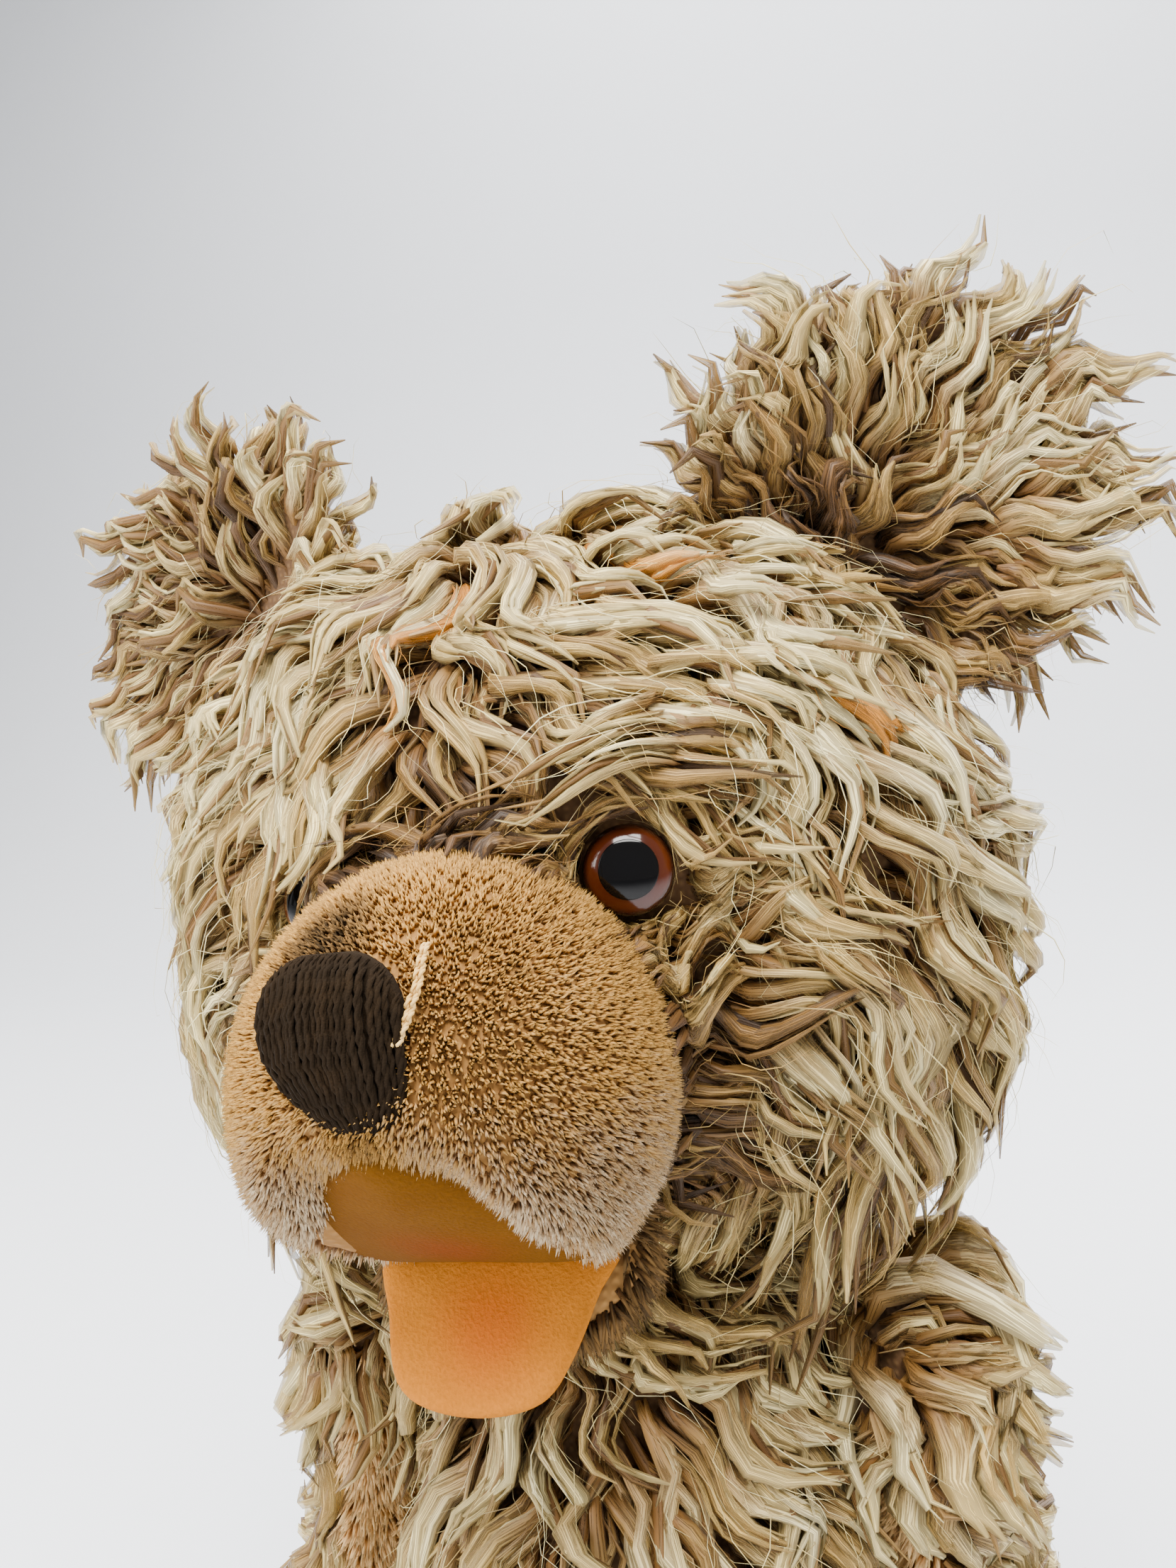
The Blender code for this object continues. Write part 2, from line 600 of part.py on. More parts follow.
def main():
    """Build the bear."""
    neck_place = HEAD_CENTRE + NECK
    neck_axis = joint_axis("neck_axis", neck_place, (0, -HEAD_LEAN, 0))
    head = make_head(neck_axis)
    torso = make_torso()

    head_pocket, body_pocket = make_joint("neck", "head", Vector((0, 0, 0)), Vector((0, 0, 1)),
                                          NECK_DISC_RADIUS, neck_axis, neck_axis, Vector((0, 0, 0)))
    cut(head, *head_pocket)
    cut(torso, *body_pocket)

    limbs = (("shoulder", "arm", SHOULDER, SHOULDER_DISC_RADIUS, make_arm),
             ("hip", "leg", HIP, HIP_DISC_RADIUS, make_leg))
    for joint, limb_name, centre, radius, make_limb in limbs:
        for side_name, side in SIDES.items():
            place_of_joint = mirrored(centre, side)
            axis_empty = joint_axis(f"{joint}_{side_name}_axis", place_of_joint)
            limb = make_limb(side_name, side, axis_empty)
            axis = Vector((side, 0, 0))
            limb_pocket, torso_pocket = make_joint(f"{joint}_{side_name}", limb_name, place_of_joint, axis,
                                                   radius, None, axis_empty, place_of_joint)
            cut(limb, *limb_pocket)
            cut(torso, *torso_pocket)


clear_scene()
PARTS = new_collection("teddy_bear")
CUTTERS = new_collection("cutters")
main()
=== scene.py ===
"""The looks of a worn, seated teddy bear in long wavy mohair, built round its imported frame.

Sizes in the classes are millimetres. The head's parts are laid out in the skull's own frame: its origin is the
middle of the skull, X is the bear's left, Y its back and Z up. A limb is laid out from its joint, as a left limb.
"""

import json
import logging
import math
from dataclasses import dataclass
from enum import Enum
from functools import cached_property, partial
from typing import Any, Callable

import bmesh
import bpy
import numpy as np
from mathutils import Matrix, Vector, noise


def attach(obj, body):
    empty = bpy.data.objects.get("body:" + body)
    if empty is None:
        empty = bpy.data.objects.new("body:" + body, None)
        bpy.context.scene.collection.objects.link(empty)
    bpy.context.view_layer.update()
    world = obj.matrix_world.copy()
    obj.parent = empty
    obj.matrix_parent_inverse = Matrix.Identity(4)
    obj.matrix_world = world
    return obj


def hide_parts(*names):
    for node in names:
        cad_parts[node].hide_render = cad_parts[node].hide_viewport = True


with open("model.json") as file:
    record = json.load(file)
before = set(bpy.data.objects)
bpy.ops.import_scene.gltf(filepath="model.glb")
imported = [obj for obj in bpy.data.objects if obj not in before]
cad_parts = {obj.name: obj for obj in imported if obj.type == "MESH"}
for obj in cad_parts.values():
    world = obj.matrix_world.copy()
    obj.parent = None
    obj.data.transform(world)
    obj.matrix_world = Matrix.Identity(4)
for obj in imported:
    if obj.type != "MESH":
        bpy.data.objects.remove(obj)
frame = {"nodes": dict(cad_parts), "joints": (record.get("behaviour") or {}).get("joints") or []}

MM = 0.001
HAIR_WIDTH = 0.12             # half a single hair's width
FLOOR_CLEAR = 0.4             # how far every fibre stays above the floor
SPINE_CLEAR = 4.0             # how far the middle of a lock stays above the floor
LANES = 24                    # how many tones the pile's map keeps, side by side
STRIP_ROWS = 0.48             # the part of the pile's map, root to tip, that strips of fibres take
HAIR_ROWS = 0.5               # where the part of single hairs starts
TONES = (0.03, 0.8)           # the darkest and the lightest tone of a clean lock
STAINED_TONE = 0.97           # the tone of an orange-stained lock
EYE_AT = (23, -44.8, 1.9)     # the middle of the left eye's back, in the skull's frame
EYE_WAY = (0.26, -0.955, 0.14)
LOG = logging.getLogger("teddy_bear")
Array = np.ndarray
Triple = tuple[float, float, float]
Colour = tuple[float, float, float]
Face = tuple[int, ...]
Piece = bpy.types.Object
Random = np.random.Generator


class Word(Enum):
    """A choice whose word stands in the names of pieces, nodes and joints."""

    def __str__(self) -> str:
        """The word."""
        return self.name.lower()


class Side(Word):
    """A side of the bear, with the sign of its X."""

    LEFT = 1
    RIGHT = -1

    @property
    def mirror(self) -> Array:
        """The matrix that takes the left side to this one."""
        return np.diag([self.value, 1, 1])

    def of(self, values: Array | Triple) -> Array:
        """Places or directions of the left side, on this one."""
        return np.asarray(values, float) * (self.value, 1, 1)


class LimbKind(Word):
    """The two kinds of limb, with the seed of their coats."""

    ARM = 71
    LEG = 81


# ---------------------------------------- small maths


def unit(vectors: Array) -> Array:
    """Vectors at length one."""
    return vectors / np.maximum(np.linalg.norm(vectors, axis=-1, keepdims=True), 1e-9)


def ease(low: float, high: float, values: Array) -> Array:
    """A smooth step from 0 at low to 1 at high; low may be the larger."""
    part = np.clip((values - low) / (high - low), 0, 1)
    return part * part * (3 - 2 * part)


def gap_to(points: Array, centre: Array | Triple) -> Array:
    """How far each point is from a centre."""
    return np.linalg.norm(points - np.asarray(centre), axis=-1)


def through(knots: Array, count: int) -> Array:
    """Rows on a smooth curve that passes through each knot row.

    Args:
        knots: the rows that the curve passes through.
        count: how many rows are wanted.

    Returns:
        The rows, evenly spread between the knots.
    """
    spans = len(knots) - 1
    value = np.linspace(0, spans, count)
    first = np.minimum(value.astype(int), spans - 1)
    part = (value - first)[:, None]
    a, b, c, d = (knots[np.clip(first + step, 0, spans)] for step in (-1, 0, 1, 2))
    return 0.5 * (2 * b + (c - a) * part + (2 * a - 5 * b + 4 * c - d) * part ** 2
                  + (3 * b - a - 3 * c + d) * part ** 3)


def soft_noise(points: Array, size: float, seed: float) -> Array:
    """Smooth noise from about -1 to 1 at each point, with features of a size."""
    return np.array([noise.noise(Vector(p) / size + Vector((seed, -seed, 2 * seed))) for p in points])


def turn_matrix(axis: str, degrees: float) -> Array:
    """A turn about X, Y or Z."""
    return np.array(Matrix.Rotation(math.radians(degrees), 3, axis))


def linear(colour: Colour) -> tuple[float, float, float, float]:
    """A display colour as the linear colour that a shader takes."""
    return (*[c / 12.92 if c <= 0.04045 else ((c + 0.055) / 1.055) ** 2.4 for c in colour], 1.0)


@dataclass(frozen=True)
class Place:
    """Where a sub-assembly's own frame lies in the bear; the right side mirrors it."""

    turn: Array
    origin: Array
    side: Side = Side.LEFT

    def aim(self, vectors: Array | Triple) -> Array:
        """Directions of the sub-assembly in the bear's frame."""
        return self.side.of(vectors) @ self.turn.T

    def out(self, points: Array | Triple) -> Array:
        """Points of the sub-assembly in the bear's frame."""
        return self.aim(points) + self.origin

    def within(self, turn: Array, origin: Triple) -> "Place":
        """The place of a frame that is turned and set inside this one."""
        mirror = self.side.mirror
        return Place(self.turn @ mirror @ turn @ mirror, self.out(origin), self.side)


class Sided:
    """A sub-assembly that the bear has on each side."""

    place: Place

    @property
    def side_name(self) -> str:
        """The word for its side."""
        return str(self.place.side)


# ---------------------------------------- node graphs


def operator(operation: str, reflected: bool = False) -> Callable[["Wire", Any], "Wire"]:
    """A method that stands for a Python operator and adds the node of an operation.

    Args:
        operation: the node's operation.
        reflected: whether the wire is the second of the two values.

    Returns:
        The method.
    """
    def method(wire: "Wire", other: Any) -> "Wire":
        """The operation on the wire and another value."""
        return wire.graph.join(operation, *((other, wire) if reflected else (wire, other)))
    return method


class Wire:
    """An output socket that takes part in Python arithmetic by adding Math or Vector Math nodes."""

    __add__, __radd__ = operator("ADD"), operator("ADD", True)
    __sub__, __rsub__ = operator("SUBTRACT"), operator("SUBTRACT", True)
    __mul__, __rmul__ = operator("MULTIPLY"), operator("MULTIPLY", True)
    __truediv__, __rtruediv__ = operator("DIVIDE"), operator("DIVIDE", True)
    __pow__ = operator("POWER")

    def __init__(self, graph: "Graph", socket: bpy.types.NodeSocket) -> None:
        """Wrap a socket of the graph."""
        self.graph = graph
        self.socket = socket

    @property
    def is_vector(self) -> bool:
        """Whether the socket carries three numbers."""
        return self.socket.type in {"VECTOR", "RGBA"}

    def other(self, name: str | int) -> "Wire":
        """Another output of the same node."""
        return Wire(self.graph, self.socket.node.outputs[name])


class Graph:
    """A node tree that is filled by Python calls."""

    def __init__(self, tree: bpy.types.NodeTree) -> None:
        """Start on a tree."""
        self.tree = tree

    def add(self, kind: str, settings: dict[str, Any] | None = None, values: dict[Any, Any] | None = None,
            take: str | int = 0) -> Wire:
        """Add one node.

        Args:
            kind: the node's type.
            settings: properties that are set first; "stops" fills a colour ramp, "captured" a capture node.
            values: a number, colour or Wire for each input, by name or place.
            take: the output that is given back.

        Returns:
            The chosen output.
        """
        node = self.tree.nodes.new(kind)
        for name, value in (settings or {}).items():
            if name == "stops":
                ramp = node.color_ramp
                while len(ramp.elements) < len(value):
                    ramp.elements.new(0.5)
                for element, (position, colour) in zip(ramp.elements, value):
                    element.position = position
                    element.color = colour if len(colour) == 4 else linear(colour)
            elif name == "captured":
                node.capture_items.new(value, "Value")
            else:
                setattr(node, name, value)
        for key, value in (values or {}).items():
            socket = node.inputs[key]
            if isinstance(value, Wire):
                self.tree.links.new(value.socket, socket)
            else:
                socket.default_value = value
        return Wire(self, node.outputs[take])

    def join(self, operation: str, first: Any, second: Any) -> Wire:
        """Two values through a Math node, or through Vector Math where one of them has three numbers."""
        vectors = [isinstance(v, Wire) and v.is_vector or isinstance(v, (tuple, list)) for v in (first, second)]
        if not any(vectors):
            return self.add("ShaderNodeMath", {"operation": operation}, {0: first, 1: second})
        if operation == "MULTIPLY" and not all(vectors):
            vector, number = (first, second) if vectors[0] else (second, first)
            return self.add("ShaderNodeVectorMath", {"operation": "SCALE"}, {0: vector, 3: number})
        return self.add("ShaderNodeVectorMath", {"operation": operation}, {0: first, 1: second})

    def math(self, operation: str, *values: Any) -> Wire:
        """A Math node by its operation."""
        return self.add("ShaderNodeMath", {"operation": operation}, dict(enumerate(values)))

    def split(self, value: Wire) -> Wire:
        """The first of three numbers; the others are Y and Z of the same node."""
        return self.add("ShaderNodeSeparateXYZ", None, {0: value})

    def combine(self, *numbers: Any) -> Wire:
        """Up to three numbers as a vector."""
        return self.add("ShaderNodeCombineXYZ", None, dict(enumerate(numbers)))

    def mix(self, factor: Any, first: Any, second: Any) -> Wire:
        """A mix of two colours."""
        return self.add("ShaderNodeMix", {"data_type": "RGBA"}, {0: factor, 6: first, 7: second}, 2)


@dataclass(frozen=True)
class Finish:
    """A material of one Principled shader; subclasses say what varies over the surface."""

    name: str
    roughness: float = 0.8
    sheen: float = 0.0
    specular: float = 0.5
    coat: float = 0.0
    metallic: float = 0.0

    def paint(self, graph: Graph, values: dict[str, Any]) -> None:
        """Add the varying inputs of the shader to values."""

    def material(self) -> bpy.types.Material:
        """The material, built on its first use."""
        known = bpy.data.materials.get(self.name)
        if known:
            return known
        made = bpy.data.materials.new(self.name)
        made.use_nodes = True
        made.node_tree.nodes.clear()
        graph = Graph(made.node_tree)
        values: dict[str, Any] = {"Roughness": self.roughness, "Sheen Weight": self.sheen, "Sheen Roughness": 0.4,
                                  "Specular IOR Level": self.specular, "Coat Weight": self.coat,
                                  "Coat Roughness": 0.03, "Metallic": self.metallic}
        self.paint(graph, values)
        shader = graph.add("ShaderNodeBsdfPrincipled", None, values)
        output = made.node_tree.nodes.new("ShaderNodeOutputMaterial")
        made.node_tree.links.new(shader.socket, output.inputs["Surface"])
        return made


def object_place(graph: Graph) -> Wire:
    """Object coordinates."""
    return graph.add("ShaderNodeTexCoord", take="Object")


def grain(graph: Graph, where: Wire, size_mm: float, detail: float) -> Wire:
    """Noise of a grain size over the surface, from 0 to 1."""
    return graph.add("ShaderNodeTexNoise", None, {"Vector": where, "Scale": 1 / (size_mm * MM), "Detail": detail})


def distance(graph: Graph, where: Wire, centre: Triple, size_mm: float) -> Wire:
    """How far places are from a centre, as a share of a size."""
    away = graph.add("ShaderNodeVectorMath", {"operation": "DISTANCE"},
                     {0: where, 1: tuple(c * MM for c in centre)}, "Value")
    return away / (size_mm * MM)


def ramp(graph: Graph, value: Wire, start: float, end: float, low: float = 0.0, high: float = 1.0,
         soft: bool = False) -> Wire:
    """A value's way from start to end as a number from low to high, straight or as a smooth step."""
    settings = {"interpolation_type": "SMOOTHSTEP"} if soft else None
    return graph.add("ShaderNodeMapRange", settings, {0: value, 1: start, 2: end, 3: low, 4: high})


def bump(graph: Graph, height: Wire, depth_mm: float, strength: float) -> Wire:
    """A Bump node's normal."""
    return graph.add("ShaderNodeBump", None, {"Height": height, "Distance": depth_mm * MM, "Strength": strength})


@dataclass(frozen=True)
class CoatFinish(Finish):
    """Pile whose colour runs with its own map: tone and fibres across, root to tip along."""

    roots: tuple[tuple[float, Colour], ...] = ()
    tips: tuple[tuple[float, Colour], ...] = ()
    rise: tuple[float, float] = (0.05, 0.65)
    fibres: float = 12.0
    shade: float = 0.4
    gaps: tuple[float, float] = (0.0, 0.0)
    frayed: float = 0.0

    def paint(self, graph: Graph, values: dict[str, Any]) -> None:
        """Colour from the tone, from root to tip, in fine fibres."""
        place = graph.add("ShaderNodeUVMap", {"uv_map": "OFBake"})
        parts = graph.split(place)
        loose = graph.math("GREATER_THAN", parts.other("Y"), (STRIP_ROWS + HAIR_ROWS) / 2)
        reach = (parts.other("Y") - loose * HAIR_ROWS) / STRIP_ROWS
        along = ramp(graph, reach, *self.rise, soft=True)
        lane = graph.math("FLOOR", parts * LANES)
        tone = (lane + 0.5) / LANES
        aside = (parts * LANES - lane) * 2 - 1
        root = graph.add("ShaderNodeValToRGB", {"stops": self.roots}, {0: tone})
        tip = graph.add("ShaderNodeValToRGB", {"stops": self.tips}, {0: tone})
        run = graph.combine(parts * LANES * self.fibres, reach * 2.5)
        fibre = graph.add("ShaderNodeTexNoise", {"noise_dimensions": "2D"},
                          {"Vector": run, "Scale": 1.0, "Detail": 3.0})
        low = reach ** 1.3 * (self.gaps[1] - self.gaps[0]) + self.gaps[0] + aside * aside * self.frayed * reach
        body = graph.math("MAXIMUM", loose * 0.1, fibre - low)
        # Painted shade darkens each fibre toward its edges, toward the root colour.
        dark = ramp(graph, body, -0.02, 0.1, self.shade, 0.0)
        values["Base Color"] = graph.mix(dark, graph.mix(along, root, tip), root)
        values["Normal"] = bump(graph, fibre, 0.12, 0.7)
        values["Alpha"] = ramp(graph, body, -0.02, 0.02, soft=True)


@dataclass(frozen=True)
class ClothFinish(Finish):
    """Woven backing cloth under the pile, soiled in patches."""

    dark: Colour = (0.2, 0.15, 0.1)
    light: Colour = (0.4, 0.3, 0.2)
    thread_mm: float = 0.7

    def paint(self, graph: Graph, values: dict[str, Any]) -> None:
        """A weave of crossed threads with blotches."""
        place = object_place(graph)
        waves = [graph.add("ShaderNodeTexWave", {"bands_direction": axis},
                           {"Vector": place, "Scale": 0.5 / (self.thread_mm * MM) / 3, "Distortion": 1.5})
                 for axis in ("X", "Z")]
        weave = graph.math("MULTIPLY", *[w.other("Fac") for w in waves])
        blotch = grain(graph, place, 9, 3)
        values["Base Color"] = graph.mix(weave * 0.5 + blotch * 0.5, linear(self.dark), linear(self.light))
        values["Normal"] = bump(graph, weave, 0.3, 0.6)


@dataclass(frozen=True)
class FeltFinish(Finish):
    """Wool felt with an airbrushed stain round one place."""

    ground: Colour = (0.9, 0.65, 0.3)
    worn: Colour = (0.85, 0.6, 0.3)
    stain: Colour = (0.85, 0.4, 0.2)
    stain_at: Triple = (0, 0, 0)
    stain_mm: float = 10
    stain_share: float = 0.8

    def paint(self, graph: Graph, values: dict[str, Any]) -> None:
        """Matted fibres, faint blotches and the soft stain."""
        place = object_place(graph)
        fibre = grain(graph, place, 0.45, 4)
        blotch = grain(graph, place, 6, 3)
        base = graph.mix(blotch, linear(self.ground), linear(self.worn))
        ragged = distance(graph, place, self.stain_at, self.stain_mm) + (blotch - 0.5) * 0.5
        near = ramp(graph, ragged, 1.0, 0.1, 0.0, self.stain_share, soft=True)
        stained = graph.mix(near, base, linear(self.stain))
        shade = ramp(graph, fibre, 0.3, 0.7, 0.35, 0.0)
        values["Base Color"] = graph.mix(shade, stained, linear(tuple(c * 0.62 for c in self.ground)))
        values["Normal"] = bump(graph, fibre, 0.25, 0.8)


@dataclass(frozen=True)
class ThreadFinish(Finish):
    """Spun thread, rubbed paler in places."""

    colour: Colour = (0.1, 0.08, 0.06)
    rubbed: Colour = (0.3, 0.28, 0.25)
    rubbed_share: float = 0.5

    def paint(self, graph: Graph, values: dict[str, Any]) -> None:
        """Fine fibres with rubbed places."""
        place = object_place(graph)
        fibre = grain(graph, place, 0.25, 3)
        rub = grain(graph, place, 3.5, 3)
        worn = ramp(graph, rub, 0.45, 0.75, 0.0, self.rubbed_share)
        light = ramp(graph, fibre, 0.35, 0.7, 0.2, 1.0)
        values["Base Color"] = graph.mix(worn * light, linear(self.colour), linear(self.rubbed))
        values["Normal"] = bump(graph, fibre, 0.15, 0.7)


@dataclass(frozen=True)
class EyeFinish(Finish):
    """Glass whose colour changes from the pupil's edge outward."""

    centre: Triple = (0, 0, 0)
    rings: tuple[tuple[float, Colour], ...] = ()
    radius: float = 6.0

    def paint(self, graph: Graph, values: dict[str, Any]) -> None:
        """Rings of colour, broken a little by streaks in the glass."""
        place = object_place(graph)
        away = distance(graph, place, self.centre, self.radius)
        streak = (grain(graph, place, 1.2, 2) - 0.5) * 0.06
        values["Base Color"] = graph.add("ShaderNodeValToRGB", {"stops": self.rings}, {0: away + streak})


@dataclass(frozen=True)
class PlainFinish(Finish):
    """A hard or pressed material with grain, scratches and age spots."""

    colour: Colour = (0.5, 0.5, 0.5)
    spot: Colour = (0.4, 0.35, 0.3)
    grain_mm: float = 1.0
    depth_mm: float = 0.05

    def paint(self, graph: Graph, values: dict[str, Any]) -> None:
        """Grain in colour, roughness and relief."""
        place = object_place(graph)
        fine = grain(graph, place, self.grain_mm, 4)
        spots = grain(graph, place, self.grain_mm * 6, 3)
        values["Base Color"] = graph.mix(spots * fine * 2, linear(self.colour), linear(self.spot))
        values["Roughness"] = fine * 0.2 + (self.roughness - 0.1)
        values["Normal"] = bump(graph, fine, self.depth_mm, 0.6)


# Its roots are painted darker than its tips, partly as painted shade deep between the locks.
LONG_COAT = CoatFinish(
    "mohair_long_coat", roughness=0.5, sheen=0.03, specular=0.3, rise=(0.1, 0.85), gaps=(0.43, 0.62), frayed=0.16,
    fibres=19.0, shade=0.5,
    roots=((0.0, (0.16, 0.10, 0.035)), (0.3, (0.32, 0.21, 0.08)), (0.6, (0.44, 0.30, 0.13)),
           (0.9, (0.58, 0.43, 0.22)), (0.94, (0.70, 0.44, 0.14)), (1.0, (0.62, 0.38, 0.10))),
    tips=((0.0, (0.38, 0.25, 0.11)), (0.25, (0.64, 0.48, 0.24)), (0.5, (0.86, 0.73, 0.43)),
          (0.75, (1.0, 0.93, 0.66)), (0.9, (1.0, 0.98, 0.80)), (0.94, (0.84, 0.60, 0.24)),
          (1.0, (0.78, 0.50, 0.14))))
SHORT_COAT = CoatFinish(
    "muzzle_short_coat", roughness=0.8, specular=0.15, rise=(0.0, 0.8), shade=0.12, fibres=2.5, gaps=(0.28, 0.5),
    roots=((0.0, (0.12, 0.09, 0.05)), (0.25, (0.38, 0.27, 0.14)), (0.55, (0.66, 0.48, 0.24)),
           (0.8, (0.58, 0.45, 0.31)), (1.0, (0.62, 0.50, 0.38))),
    tips=((0.0, (0.20, 0.15, 0.08)), (0.25, (0.46, 0.34, 0.18)), (0.5, (0.72, 0.54, 0.26)),
          (0.65, (0.70, 0.55, 0.32)), (0.8, (0.70, 0.58, 0.43)), (1.0, (0.86, 0.78, 0.64))))
PEACH_COAT = CoatFinish(
    "arm_peach_coat", roughness=0.8, specular=0.15, rise=(0.0, 0.8), shade=0.25, fibres=2.5, gaps=(0.28, 0.5),
    roots=((0.0, (0.62, 0.42, 0.20)), (1.0, (0.74, 0.52, 0.28))),
    tips=((0.0, (0.90, 0.72, 0.44)), (1.0, (1.0, 0.86, 0.64))))
# Its dark brown is partly painted shade in the gaps between locks.
BACKING = ClothFinish("coat_backing", roughness=0.95, dark=(0.30, 0.20, 0.11), light=(0.46, 0.34, 0.20))
MUZZLE_BACKING = ClothFinish("muzzle_backing", roughness=0.95, dark=(0.50, 0.35, 0.16), light=(0.62, 0.45, 0.22))
NOSE_THREAD = ThreadFinish("stitched_black_thread", roughness=0.9, specular=0.1, colour=(0.10, 0.065, 0.025),
                           rubbed=(0.24, 0.17, 0.09), rubbed_share=0.3)
SEAM_THREAD = ThreadFinish("stitched_yellow_thread", roughness=0.7, colour=(0.83, 0.66, 0.36),
                           rubbed=(0.92, 0.84, 0.62), rubbed_share=0.6)
STEEL = PlainFinish("dull_steel", roughness=0.45, metallic=1.0, colour=(0.62, 0.62, 0.62), spot=(0.42, 0.38, 0.34))
BOARD = PlainFinish("pressed_board", roughness=0.85, colour=(0.42, 0.31, 0.20), spot=(0.28, 0.20, 0.13),
                    grain_mm=0.6)
FLOOR = PlainFinish("pale_floor", roughness=0.9, colour=(0.86, 0.87, 0.89), spot=(0.85, 0.86, 0.88), grain_mm=9,
                    depth_mm=0.02)


# ---------------------------------------- meshes


def new_object(name: str, mesh: bpy.types.Mesh) -> Piece:
    """An object at the origin with this mesh, in the scene."""
    made = bpy.data.objects.new(name, mesh)
    bpy.context.scene.collection.objects.link(made)
    return made


def solid(name: str, points: Array, faces: list[Face], finish: Finish) -> Piece:
    """A closed, smooth piece.

    Args:
        name: the piece's name.
        points: its points in the bear's frame, in millimetres.
        faces: its faces.
        finish: its finish.

    Returns:
        The piece.
    """
    mesh = bpy.data.meshes.new(name)
    mesh.from_pydata((points * MM).tolist(), [], faces)
    form = bmesh.new()
    form.from_mesh(mesh)
    bmesh.ops.remove_doubles(form, verts=form.verts, dist=1e-7)
    bmesh.ops.recalc_face_normals(form, faces=form.faces)
    if form.calc_volume(signed=True) < 0:
        bmesh.ops.reverse_faces(form, faces=form.faces)
    form.to_mesh(mesh)
    form.free()
    mesh.shade_smooth()
    mesh.materials.append(finish.material())
    return new_object(name, mesh)


def keep_values(mesh: bpy.types.Mesh, values: dict[str, Array]) -> None:
    """Keep a number or a vector for each point of a mesh, by attribute name."""
    for label, data in values.items():
        kind, entry = ("FLOAT_VECTOR", "vector") if data.ndim > 1 else ("FLOAT", "value")
        mesh.attributes.new(label, kind, "POINT").data.foreach_set(entry, data.astype(np.float32).reshape(-1))


def ring_faces(rings: int, segments: int) -> list[Face]:
    """Faces of a tube of rings, with a fan to one more point at each end."""
    faces: list[Face] = []
    for ring in range(rings - 1):
        for step in range(segments):
            after = (step + 1) % segments
            low, high = ring * segments, (ring + 1) * segments
            faces.append((low + step, low + after, high + after, high + step))
    first, last = rings * segments, rings * segments + 1
    for step in range(segments):
        after = (step + 1) % segments
        faces.append((after, step, first))
        faces.append(((rings - 1) * segments + step, (rings - 1) * segments + after, last))
    return faces


def ball(segments: int, rings: int, shape: Callable[[Array], Array]) -> tuple[Array, list[Face]]:
    """Points and faces of a sphere whose unit directions go through a shape function."""
    lat = np.linspace(-math.pi / 2, math.pi / 2, rings + 2)[1:-1]
    lon = np.linspace(0, math.tau, segments, endpoint=False)
    body = np.stack([np.outer(np.cos(lat), np.cos(lon)), np.outer(np.cos(lat), np.sin(lon)),
                     np.outer(np.sin(lat), np.ones(segments))], -1).reshape(-1, 3)
    directions = np.vstack([body, [(0, 0, -1), (0, 0, 1)]])
    return shape(directions), ring_faces(rings, segments)


class GeometryTree:
    """A Geometry Nodes tree with named inputs."""

    KINDS = {float: "NodeSocketFloat", int: "NodeSocketInt", bpy.types.Material: "NodeSocketMaterial"}
    SPENT = {"tone", "along", "round", "side", "traits", "lean", "amount", "length"}

    def __init__(self, name: str, inputs: dict[str, type]) -> None:
        """Make the tree and its sockets."""
        self.tree = bpy.data.node_groups.new(name, "GeometryNodeTree")
        self.graph = Graph(self.tree)
        face = self.tree.interface
        face.new_socket("Geometry", in_out="INPUT", socket_type="NodeSocketGeometry")
        self.sockets = {label: face.new_socket(label, in_out="INPUT", socket_type=self.KINDS[kind]).identifier
                        for label, kind in inputs.items()}
        face.new_socket("Geometry", in_out="OUTPUT", socket_type="NodeSocketGeometry")
        self.source = self.graph.add("NodeGroupInput")

    def input(self, name: str) -> Wire:
        """One named input."""
        return self.source.other(name)

    def chance(self, own: Wire, step: int, low: float, high: float) -> Wire:
        """A random number for each value of own, by the tree's seed and a step."""
        return self.graph.add("FunctionNodeRandomValue", {"data_type": "FLOAT"},
                              {2: low, 3: high, "ID": own, "Seed": self.input("Seed") + step}, 1)

    def close(self, result: Wire) -> None:
        """Realize the result, give it the material and link it to the output."""
        whole = self.graph.add("GeometryNodeRealizeInstances", None, {0: result})
        smooth = self.graph.add("GeometryNodeSetShadeSmooth", None, {0: whole})
        dressed = self.graph.add("GeometryNodeSetMaterial", None, {0: smooth, "Material": self.input("Material")})
        sink = self.tree.nodes.new("NodeGroupOutput")
        self.tree.links.new(dressed.socket, sink.inputs[0])

    def grow(self, name: str, base: bpy.types.Mesh, finish: Finish, **values: float) -> Piece:
        """Run the tree on a mesh and keep the result as a plain piece.

        Args:
            name: the new piece's name.
            base: the mesh that the tree works on.
            finish: the material of what grows.
            values: the tree's inputs, with _ for a space.

        Returns:
            The piece, with no modifier.
        """
        carrier = new_object(f"{name}_base", base)
        modifier = carrier.modifiers.new("grow", "NODES")
        modifier.node_group = self.tree
        modifier[self.sockets["Material"]] = finish.material()
        for key, value in values.items():
            modifier[self.sockets[key.replace("_", " ")]] = value
        graph = bpy.context.evaluated_depsgraph_get()
        mesh = bpy.data.meshes.new_from_object(carrier.evaluated_get(graph), preserve_all_data_layers=True,
                                               depsgraph=graph)
        bpy.data.objects.remove(carrier)
        for label in self.SPENT & set(mesh.attributes.keys()):
            mesh.attributes.remove(mesh.attributes[label])
        mesh.name = name
        return new_object(name, mesh)


def named(graph: Graph, name: str, kind: str = "FLOAT") -> Wire:
    """A named value of the geometry."""
    return graph.add("GeometryNodeInputNamedAttribute", {"data_type": kind}, {"Name": name}, "Attribute")


